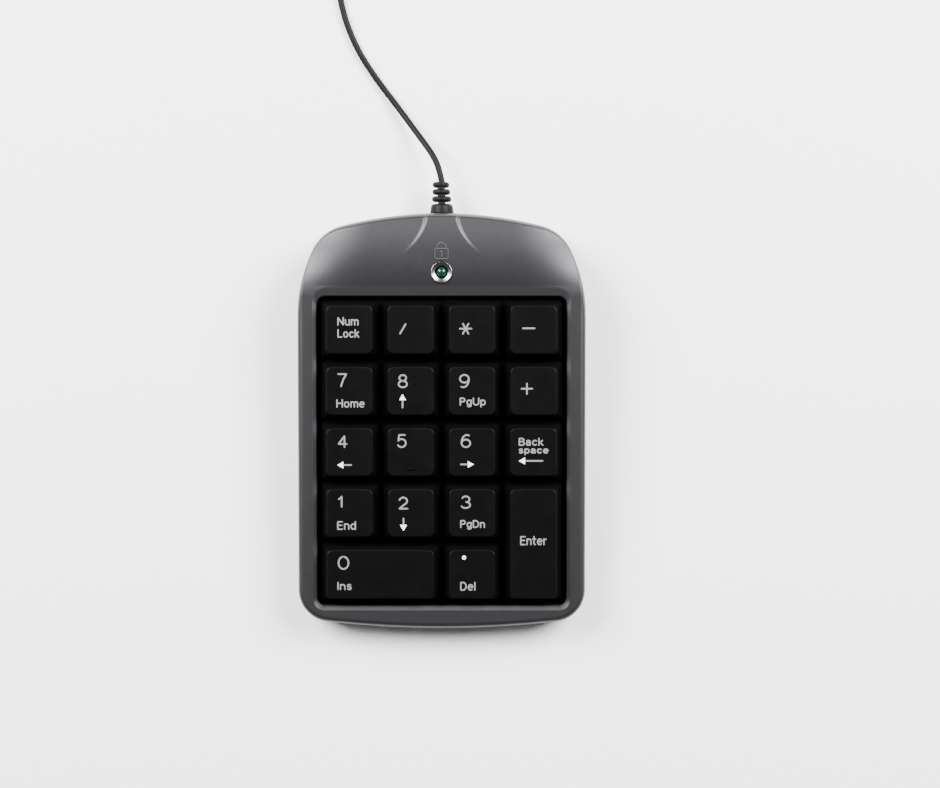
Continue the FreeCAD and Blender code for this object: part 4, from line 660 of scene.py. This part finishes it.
def ink_tree():
    """Turns lines into raised round-ended strokes that lie on a hollow face."""
    tree = bpy.data.node_groups.new("printed_strokes", "GeometryNodeTree")
    face = tree.interface
    face.new_socket("Geometry", in_out="INPUT", socket_type="NodeSocketGeometry")
    for name, value in (("Stroke Width", STROKE), ("Proud", PROUD), ("Face Radius", FLAT_FACE)):
        face.new_socket(name, in_out="INPUT", socket_type="NodeSocketFloat").default_value = value * MM
    face.new_socket("Finish", in_out="INPUT", socket_type="NodeSocketMaterial")
    face.new_socket("Geometry", in_out="OUTPUT", socket_type="NodeSocketGeometry")
    given, done = tree.nodes.new("NodeGroupInput"), tree.nodes.new("NodeGroupOutput")
    link = tree.links.new
    thick = maths(tree, "MULTIPLY", given.outputs["Proud"], 2.0)
    section = node(tree, "GeometryNodeCurvePrimitiveQuadrilateral")
    link(given.outputs["Stroke Width"], section.inputs["Width"])
    link(thick, section.inputs["Height"])
    ribbon = node(tree, "GeometryNodeCurveToMesh")
    ribbon.inputs["Fill Caps"].default_value = True
    link(given.outputs["Geometry"], ribbon.inputs["Curve"])
    link(section.outputs["Curve"], ribbon.inputs["Profile Curve"])
    # a round dot on each end of each line
    dot = node(tree, "GeometryNodeMeshCylinder", Vertices=20)
    link(maths(tree, "MULTIPLY", given.outputs["Stroke Width"], 0.5), dot.inputs["Radius"])
    link(thick, dot.inputs["Depth"])
    ends = node(tree, "GeometryNodeCurveEndpointSelection")
    marked = node(tree, "GeometryNodeCaptureAttribute", domain="POINT")
    marked.capture_items.new("FLOAT", "end")
    link(given.outputs["Geometry"], marked.inputs["Geometry"])
    link(ends.outputs["Selection"], marked.inputs[1])
    spots = node(tree, "GeometryNodeCurveToPoints", mode="EVALUATED")
    link(marked.outputs["Geometry"], spots.inputs["Curve"])
    dots = node(tree, "GeometryNodeInstanceOnPoints")
    link(spots.outputs["Points"], dots.inputs["Points"])
    link(marked.outputs[1], dots.inputs["Selection"])
    link(dot.outputs["Mesh"], dots.inputs["Instance"])
    both = node(tree, "GeometryNodeJoinGeometry")
    link(ribbon.outputs["Mesh"], both.inputs["Geometry"])
    link(dots.outputs["Instances"], both.inputs["Geometry"])
    real = node(tree, "GeometryNodeRealizeInstances")
    link(both.outputs["Geometry"], real.inputs["Geometry"])
    # the hollow face rises by the square of the distance across it
    where = node(tree, "GeometryNodeInputPosition")
    axes = node(tree, "ShaderNodeSeparateXYZ")
    link(where.outputs["Position"], axes.inputs["Vector"])
    square = maths(tree, "MULTIPLY", axes.outputs["X"], axes.outputs["X"])
    rise = maths(tree, "DIVIDE", square, maths(tree, "MULTIPLY", given.outputs["Face Radius"], 2.0))
    lift = node(tree, "ShaderNodeCombineXYZ")
    link(rise, lift.inputs["Z"])
    follow = node(tree, "GeometryNodeSetPosition")
    link(real.outputs["Geometry"], follow.inputs["Geometry"])
    link(lift.outputs["Vector"], follow.inputs["Offset"])
    paint = node(tree, "GeometryNodeSetMaterial")
    link(follow.outputs["Geometry"], paint.inputs["Geometry"])
    link(given.outputs["Finish"], paint.inputs["Material"])
    link(paint.outputs["Geometry"], done.inputs["Geometry"])
    return tree


def grow(tree, base, **values):
    """The plain mesh that a tree makes of an object, which is used up."""
    live = base.modifiers.new("grown", "NODES")
    live.node_group = tree
    for item in tree.interface.items_tree:
        if item.item_type == "SOCKET" and item.in_out == "INPUT":
            key = item.name.lower().replace(" ", "_")
            if key in values:
                live[item.identifier] = values[key]
    graph = bpy.context.evaluated_depsgraph_get()
    graph.update()
    mesh = bpy.data.meshes.new_from_object(base.evaluated_get(graph), depsgraph=graph)
    base.modifiers.clear()
    bpy.data.objects.remove(base)
    return mesh


def lines_object(rows):
    """A flat curve object of straight-sided lines, from places in mm."""
    curve = bpy.data.curves.new("lines", "CURVE")
    curve.dimensions = "3D"
    for n, row in enumerate(even(row) for row in rows):
        line = curve.splines.new("POLY")
        line.points.add(len(row) - 1)
        for point, (x, y) in zip(line.points, row):
            point.co = (x * MM, y * MM, LINE_STACK * n * MM, 1)
    made = bpy.data.objects.new("lines", curve)
    bpy.context.collection.objects.link(made)
    return made


def place_mesh(name, mesh, where, body):
    """A grown mesh moved point by point, where(x, y, z) in mm giving its place."""
    for vert in mesh.vertices:
        vert.co = where(*(c / MM for c in vert.co)) * MM
    mesh.name = name
    made = bpy.data.objects.new(name, mesh)
    bpy.context.collection.objects.link(made)
    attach(made, body)
    return made


def join(mesh, more):
    """Adds the faces of a second mesh to the first, and drops the second."""
    work = bmesh.new()
    work.from_mesh(mesh)
    work.from_mesh(more)
    work.to_mesh(mesh)
    work.free()
    bpy.data.meshes.remove(more)
    return mesh


def add_prism(mesh, outline, low, high):
    """Adds a flat closed shape to a mesh, from places in mm."""
    work = bmesh.new()
    work.from_mesh(mesh)
    rings = [[work.verts.new((x * MM, y * MM, z * MM)) for x, y in outline] for z in (low, high)]
    made = [work.faces.new(rings[1]), work.faces.new(list(reversed(rings[0])))]
    for i in range(len(outline)):
        j = (i + 1) % len(outline)
        made.append(work.faces.new((rings[0][i], rings[0][j], rings[1][j], rings[1][i])))
    bmesh.ops.recalc_face_normals(work, faces=made)
    work.to_mesh(mesh)
    work.free()


# Column and row of each key's middle, and the columns and rows that it takes up.
KEYS = {
    "num_lock": (0, 0, 1, 1), "divide": (1, 0, 1, 1), "multiply": (2, 0, 1, 1), "minus": (3, 0, 1, 1),
    "seven": (0, 1, 1, 1), "eight": (1, 1, 1, 1), "nine": (2, 1, 1, 1), "plus": (3, 1, 1, 1),
    "four": (0, 2, 1, 1), "five": (1, 2, 1, 1), "six": (2, 2, 1, 1), "backspace": (3, 2, 1, 1),
    "one": (0, 3, 1, 1), "two": (1, 3, 1, 1), "three": (2, 3, 1, 1), "enter": (3, 3.5, 1, 2),
    "zero": (0.5, 4, 2, 1), "point": (2, 4, 1, 1),
}
CAP_LEVEL, CAP_DISH, CAP_TOP_WIDE = 13.05, 0.45, 14.4


def key_middle(name):
    """Middle of a key on the deck."""
    column, row, _, _ = KEYS[name]
    return (column - 1.5) * PITCH, (2 - row) * PITCH


def face_radius(name):
    """Radius of the hollow in a cap's face."""
    half = (CAP_TOP_WIDE + (KEYS[name][2] - 1) * PITCH) / 2
    return (half ** 2 + CAP_DISH ** 2) / (2 * CAP_DISH)


def add_arrow_head(mesh, outline, radius):
    """Adds a flat arrow head, whose corners then rise with the hollow face."""
    add_prism(mesh, outline, -PROUD, HEAD_PROUD)
    for vert in list(mesh.vertices)[-2 * len(outline):]:
        vert.co.z += vert.co.x ** 2 / (2 * radius * MM)


def make_legends():
    """The printed words, figures and signs, a piece for each key."""
    tree = ink_tree()
    for name in KEYS:
        words = WORDS.get(name, [])
        fine = [row for word in words if len(word[0]) > 1 for row in write(*word, FINE_STROKE)]
        rows = [row for word in words if len(word[0]) == 1 for row in write(*word, STROKE)]
        rows += [list(line) for line in LINES.get(name, [])]
        head = None
        if name in ARROWS:
            tail, tip, half = ARROWS[name]
            way = (Vector(tip) - Vector(tail)).normalized()
            side, back = Vector((-way.y, way.x)) * half, Vector(tip) - way * half * HEAD_LONG
            rows.append([tail, tuple(back)])
            head = [tip, tuple(back + side), tuple(back - side)]
        if name == "point":
            rows.append([DOT_AT, (DOT_AT[0] + DOT_STROKE, DOT_AT[1])])
        radius = face_radius(name)
        mesh = None
        for lines, stroke in ((rows, STROKE), (fine, FINE_STROKE)):
            if lines:
                grown = grow(tree, lines_object(lines), stroke_width=stroke * MM, proud=PROUD * MM,
                             face_radius=radius * MM, finish=FINISHES["legend"])
                mesh = join(mesh, grown) if mesh else grown
        if head:
            add_arrow_head(mesh, head, radius)
        if name == "point":
            add_prism(mesh, circle_points(DOT_RADIUS, DOT_SIDES, DOT_AT), DOT_RISE - PROUD, DOT_RISE + PROUD)
        kx, kv = key_middle(name)
        made = place_mesh(f"legend_{name}", mesh,
                          lambda x, y, z: deck(kx + x, kv + y, CAP_LEVEL - CAP_DISH + z), f"key_{name}")
        made.data.shade_flat()


# ---------------------------------------------------------------- rubber domes

# Level and thickness of the sheet, the share of a dome's height that is left, and the holes for the stakes.
RUBBER, RUBBER_THICK, DOME_LEFT, STAKE_HOLE = 1.1, 0.4, 0.25, 1.2
STAKE_ROWS = (-1.5, -0.5, 0.5, 1.5)
DOME_FOOT, DOME_LAP, DOME_SIDES = 4.0, 0.1, 48
# A dome in section, radius and height: down the outside, then up the inside to the contact nub.
DOME_SECTION = [(2.3, 4.0), (2.5, 3.96), (2.64, 3.85), (2.75, 3.6), (2.95, 3.0), (3.25, 2.0), (3.5, 1.2),
                (3.72, 0.7), (3.95, 0.42), (DOME_FOOT, 0.0),
                (3.5, 0.0), (3.2, 0.8), (2.9, 1.8), (2.55, 2.9), (2.3, 3.4), (2.1, 3.5), (1.0, 3.5),
                (1.0, 2.75), (0.92, 2.7)]


def make_rubber_sheet():
    """The flat sheet between the domes, with a hole for each dome and each stake."""
    reach = FRAME_LEDGE - PLATE_INSET
    outline = rounded_rectangle(OPEN_WIDE / 2 + reach, OPEN_LONG / 2 + reach, OPEN_CORNER)
    verts = [deck(x, v, w) for w in (RUBBER, RUBBER + RUBBER_THICK) for x, v in outline]
    sheet = piece("rubber_sheet", verts, solid_faces(2, len(outline)), "dome_rubber", flat=True)
    spots = [(key_middle(name), DOME_FOOT - DOME_LAP) for name in KEYS]
    spots += [((side * PITCH, row * PITCH), STAKE_HOLE) for side in (-1, 1) for row in STAKE_ROWS]
    subtract(sheet, [drill(deck(x, v, RUBBER - 1), deck(x, v, RUBBER + 2), radius, DOME_SIDES)
                     for (x, v), radius in spots])
    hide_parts("dome_sheet")


def make_domes():
    """A rubber dome under each key, in its rest shape before the key goes down."""
    for name in KEYS:
        middle = key_middle(name)
        verts = [deck(x, v, RUBBER + height) for radius, height in DOME_SECTION
                 for x, v in circle_points(radius, DOME_SIDES, middle)]
        dome = piece(f"rubber_dome_{name}", verts, solid_faces(len(DOME_SECTION), DOME_SIDES), "dome_rubber")
        point_outwards(dome)
        dome.data.set_sharp_from_angle(angle=math.radians(50))
        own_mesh(dome)
        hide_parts("dome_sheet")


# ---------------------------------------------------------------- lamp ring and lock mark

MARK_BACK = 14.1
MARK_V = OPEN_LONG / 2 + MARK_BACK
RING_LEVEL, RING_SIDES = BEZEL + 0.85, 96
# The ring in section, radius and height: its barrel, its flange, and the dish down to the lamp.
RING_SECTION = [(2.02, -2.8), (2.75, -2.8), (2.75, -0.9), (3.3, -0.9), (3.3, -0.12), (3.27, -0.04),
                (3.2, 0.0), (3.1, 0.0), (3.03, -0.03), (2.95, -0.09), (2.7, -0.22), (2.4, -0.35),
                (2.14, -0.45), (2.06, -0.5), (2.02, -0.6)]
MARK_STROKE, MARK_PROUD = 0.26, 0.2
# The padlock: its body, its shackle and the figure in it, from the mark's middle.
LOCK_BODY = [(-1.75, -2.3), (1.75, -2.3), (2.05, -2.0), (2.05, 0.5), (1.75, 0.8), (-1.75, 0.8), (-2.05, 0.5),
             (-2.05, -2.0), (-1.75, -2.3)]
LOCK_SHACKLE = [(-1.45, 0.8), (0.0, 1.35, 1.45, 1.3, 180, 0), (1.45, 0.8)]
LOCK_FIGURE = [(-0.45, -0.25), (0.1, 0.2), (0.1, -1.7)]


def make_ring():
    """The plated ring round the lamp, with a shallow dish that catches the light."""
    verts = [deck(x, v, RING_LEVEL + height) for radius, height in RING_SECTION
             for x, v in circle_points(radius, RING_SIDES, (0.0, LAMP_V))]
    made = piece("led_ring_plated", verts, rings_to_faces(len(RING_SECTION), RING_SIDES), "ring_metal")
    point_outwards(made)
    made.data.set_sharp_from_angle(angle=math.radians(35))
    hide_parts("led_ring")


def make_lock_mark():
    """A raised padlock outline with a figure in it, between the lamp and the lead."""
    rows = [LOCK_BODY, stroke_points(LOCK_SHACKLE), LOCK_FIGURE]
    mesh = grow(ink_tree(), lines_object(rows), stroke_width=MARK_STROKE * MM, proud=MARK_PROUD * MM,
                face_radius=FLAT_FACE * MM, finish=FINISHES["mark_paint"])
    middle = deck(0, MARK_V, BEZEL + HUMP_RISE).y
    made = place_mesh("lock_mark", mesh,
                      lambda x, y, z: Vector((x, middle + y, top_height(x, middle + y) + z)), "case")
    made.data.shade_smooth()
    made.data.set_sharp_from_angle(angle=math.radians(40))


# ---------------------------------------------------------------- lead

SLEEVE_GAP, SLEEVE_BLOCK_LONG, SLEEVE_BLOCK = 0.25, 3.1, 3.75
RIB, RIB_GAP, FIRST_RIB, RIB_TAPER, RIBS = 1.5, 0.75, 3.1, 0.22, 3
SLEEVE_START = CASE_LONG / 2 + SLEEVE_GAP
SLEEVE_TIP = SLEEVE_START + SLEEVE_BLOCK_LONG + RIBS * (RIB + RIB_GAP)
SLEEVE_INNER, SLEEVE_NECK = 1.2, 3.0
SLEEVE_LEAN, RIB_FULL, SLEEVE_FIT = 0.35, 1.8, 0.05
BLOCK_EDGE, BLOCK_TAPER, BLOCK_ROUND = 0.3, 0.25, 1.1
# The flat web through the ribs: half its width and height, its corner, its root in the block, and its spans.
WEB_WIDE, WEB_TALL, WEB_CORNER, WEB_ROOT, WEB_SPANS = 1.2, 2.3, 0.9, 1.5, 12
RIB_SIDES, RIB_EDGE_SIDES = 64, 20


def rib_tree():
    """Rows of round-edged ribs that get smaller along a line."""
    tree = bpy.data.node_groups.new("flex_ribs", "GeometryNodeTree")
    face = tree.interface
    face.new_socket("Geometry", in_out="INPUT", socket_type="NodeSocketGeometry")
    for name in ("Rib Radius", "Rib Thickness", "Rib Spacing", "Rib Taper"):
        face.new_socket(name, in_out="INPUT", socket_type="NodeSocketFloat").default_value = MM
    face.new_socket("Rib Count", in_out="INPUT", socket_type="NodeSocketInt").default_value = RIBS
    face.new_socket("Finish", in_out="INPUT", socket_type="NodeSocketMaterial")
    face.new_socket("Geometry", in_out="OUTPUT", socket_type="NodeSocketGeometry")
    given, done = tree.nodes.new("NodeGroupInput"), tree.nodes.new("NodeGroupOutput")
    link = tree.links.new
    edge = maths(tree, "MULTIPLY", given.outputs["Rib Thickness"], 0.5)
    inner = maths(tree, "SUBTRACT", given.outputs["Rib Radius"], edge)
    rim = node(tree, "GeometryNodeCurvePrimitiveCircle", Resolution=RIB_SIDES)
    link(inner, rim.inputs["Radius"])
    round_edge = node(tree, "GeometryNodeCurvePrimitiveCircle", Resolution=RIB_EDGE_SIDES)
    link(edge, round_edge.inputs["Radius"])
    lobe = node(tree, "GeometryNodeCurveToMesh")
    link(rim.outputs["Curve"], lobe.inputs["Curve"])
    link(round_edge.outputs["Curve"], lobe.inputs["Profile Curve"])
    core = node(tree, "GeometryNodeMeshCylinder", Vertices=RIB_SIDES)
    link(inner, core.inputs["Radius"])
    link(given.outputs["Rib Thickness"], core.inputs["Depth"])
    rib = node(tree, "GeometryNodeJoinGeometry")
    link(lobe.outputs["Mesh"], rib.inputs["Geometry"])
    link(core.outputs["Mesh"], rib.inputs["Geometry"])
    row = node(tree, "GeometryNodeMeshLine")
    link(given.outputs["Rib Count"], row.inputs["Count"])
    step = node(tree, "ShaderNodeCombineXYZ")
    link(given.outputs["Rib Spacing"], step.inputs["Z"])
    link(step.outputs["Vector"], row.inputs["Offset"])
    placed = node(tree, "GeometryNodeInstanceOnPoints")
    link(row.outputs["Mesh"], placed.inputs["Points"])
    link(rib.outputs["Geometry"], placed.inputs["Instance"])
    order = node(tree, "GeometryNodeInputIndex")
    taper = maths(tree, "MULTIPLY", order.outputs["Index"], given.outputs["Rib Taper"])
    shrunk = maths(tree, "SUBTRACT", 1.0, maths(tree, "DIVIDE", taper, given.outputs["Rib Radius"]))
    across = node(tree, "ShaderNodeCombineXYZ", Z=1.0)
    link(shrunk, across.inputs["X"])
    link(shrunk, across.inputs["Y"])
    link(across.outputs["Vector"], placed.inputs["Scale"])
    real = node(tree, "GeometryNodeRealizeInstances")
    link(placed.outputs["Instances"], real.inputs["Geometry"])
    paint = node(tree, "GeometryNodeSetMaterial")
    link(real.outputs["Geometry"], paint.inputs["Geometry"])
    link(given.outputs["Finish"], paint.inputs["Material"])
    link(paint.outputs["Geometry"], done.inputs["Geometry"])
    return tree


def sleeve_place(across, up, along):
    """A place on the strain relief, which leans a little to the left towards its tip."""
    lean = -SLEEVE_LEAN * max(along / (SLEEVE_TIP - SLEEVE_START), 0.0) ** 2
    return Vector((across + lean, SLEEVE_START + along, SPLIT + up))


def lathe(profile, around=72):
    """Points and faces of a turned shape from (radius, along) pairs, as (x, up, along)."""
    verts = [(x, up, along) for radius, along in profile for x, up in circle_points(radius, around)]
    return verts, solid_faces(len(profile), around)


def rounded_end(radius, along, bend, way, steps=6):
    """Profile points round the edge of a turned shape's first end (way -1) or last end (way 1)."""
    for i in range(steps + 1):
        turn = math.pi / 2 * (i / steps if way > 0 else 1 - i / steps)
        yield radius - bend + bend * math.cos(turn), along + way * (bend * math.sin(turn) - bend)


def make_sleeve():
    """The strain relief: a collar in the wall, a block, and ribs on a flat web."""
    holder = bpy.data.objects.new("base", bpy.data.meshes.new("base"))
    bpy.context.collection.objects.link(holder)
    step = RIB + RIB_GAP
    ribs = grow(rib_tree(), holder, rib_radius=FIRST_RIB * MM, rib_thickness=RIB_FULL * MM,
                rib_spacing=step * MM, rib_taper=RIB_TAPER * MM, rib_count=RIBS,
                finish=FINISHES["cord_rubber"])
    first = SLEEVE_BLOCK_LONG + RIB_GAP + RIB / 2
    for vert in ribs.vertices:
        x, up, along = (c / MM for c in vert.co)
        vert.co = sleeve_place(x, up, first + along) * MM
    inside = CASE_LONG / 2 - WALL - SLEEVE_START - SLEEVE_FIT
    profile = [(SLEEVE_BLOCK, inside - SLEEVE_INNER), (SLEEVE_BLOCK, inside), (SLEEVE_NECK, inside),
               (SLEEVE_NECK, 0.0)]
    profile += rounded_end(SLEEVE_BLOCK, 0.0, BLOCK_EDGE, -1)
    profile += rounded_end(SLEEVE_BLOCK - BLOCK_TAPER, SLEEVE_BLOCK_LONG, BLOCK_ROUND, 1, 10)
    verts, faces = lathe(profile)
    body = piece("strain_relief_block", [sleeve_place(*p) for p in verts], faces, "cord_rubber")
    point_outwards(body)
    outline = rounded_rectangle(WEB_WIDE, WEB_TALL, WEB_CORNER, extra=1)
    start, long = SLEEVE_BLOCK_LONG - WEB_ROOT, WEB_ROOT + RIBS * step
    spots = [start + long * i / WEB_SPANS for i in range(WEB_SPANS + 1)]
    verts = [sleeve_place(x, up, along) for along in spots for x, up in outline]
    faces = solid_faces(len(spots), len(outline))
    web = piece("strain_relief_web", verts, faces, "cord_rubber")
    point_outwards(web)
    work = bmesh.new()
    for mesh in (body.data, web.data, ribs):
        work.from_mesh(mesh)
    work.to_mesh(body.data)
    work.free()
    bpy.data.objects.remove(web)
    body.name = "strain_relief_rubber"
    body.data.shade_smooth()
    body.data.set_sharp_from_angle(angle=math.radians(40))
    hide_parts("strain_relief")
    return body


# The ends of the lead: towards the right, towards the rear, and over the surface the feet stand on.
LEAD_ROUTE = [(0, 75, 8.5), (-0.75, 79.3, 8.4), (-3.0, 84.3, 7.4), (-7.6, 90.6, 4.6), (-13.6, 99, 1.9),
              (-20.5, 108, 1.0), (-26.5, 117, 1.0), (-30.8, 127, 1.0), (-33, 137, 1.0),
              (-33.6, 146, 1.4), (-33.5, 152, 1.6)]
PLUG_ROUTE = [(-22.5, 165.0, 1.6), (-17, 165.0, 1.6), (-10, 164.6, 1.8), (-3, 163.2, 3.2), (4, 163.0, 3.7)]
COIL_MIDDLE = (-22.0, 153.5)
COIL_RADIUS, COIL_FLOOR, COIL_PACK = 11.5, 0.3, 1.02
COIL_TURNS, COIL_STEPS = 9, 16
# Where each turn lies, in cord diameters: out from the middle of the row, and up.
COIL_SPOTS = [(-1, 0), (0, 0), (1, 0), (1, 1), (0, 1), (-1, 1), (-1, 2), (0, 2), (1, 2), (1, 2)]


def coil_route():
    """Nine turns, three beside each other in three layers, from the lead's side to the plug's.

    Each turn moves over to the next one's place in its last third.
    """
    route = []
    for i in range(1, COIL_TURNS * COIL_STEPS - COIL_STEPS // 4 + 1):
        turn = i / COIL_STEPS
        lap = int(turn)
        ease = smooth((turn - lap) * 3 - 2)
        here, after = COIL_SPOTS[lap], COIL_SPOTS[lap + 1]
        out = here[0] + (after[0] - here[0]) * ease
        up = here[1] + (after[1] - here[1]) * ease
        angle = math.pi - 2 * math.pi * turn
        radius = (COIL_RADIUS + out * CORD * COIL_PACK) / math.cos(math.pi / COIL_STEPS) ** 0.5
        route.append((COIL_MIDDLE[0] + radius * math.cos(angle), COIL_MIDDLE[1] + radius * math.sin(angle),
                      COIL_FLOOR + CORD / 2 + up * CORD))
    return route


def make_cord(sleeve):
    """The whole lead on one smooth curve, from the strain relief through the put-away coil to the plug."""
    points = [(0, SLEEVE_TIP, SPLIT)] + LEAD_ROUTE[1:] + coil_route() + PLUG_ROUTE
    curve = bpy.data.curves.new("cord", "CURVE")
    curve.dimensions = "3D"
    line = curve.splines.new("NURBS")
    line.points.add(len(points) - 1)
    for point, place in zip(line.points, points):
        point.co = (*(c * MM for c in place), 1)
    line.order_u = 3
    line.use_endpoint_u = True
    line.resolution_u = 6
    curve.bevel_depth, curve.bevel_resolution = CORD / 2 * MM, 5
    curve.use_fill_caps = True
    curve.materials.append(FINISHES["cord_rubber"])
    made = bpy.data.objects.new("cord", curve)
    bpy.context.collection.objects.link(made)
    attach(made, "case")
    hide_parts("cord_lead", "cord_coil", "cord_to_plug")


# ---------------------------------------------------------------- the whole keypad

make_camera()
make_studio()
dress_nodes()
make_top_cover()
make_cord(make_sleeve())
make_legends()
make_lock_mark()
make_ring()
make_rubber_sheet()
make_domes()
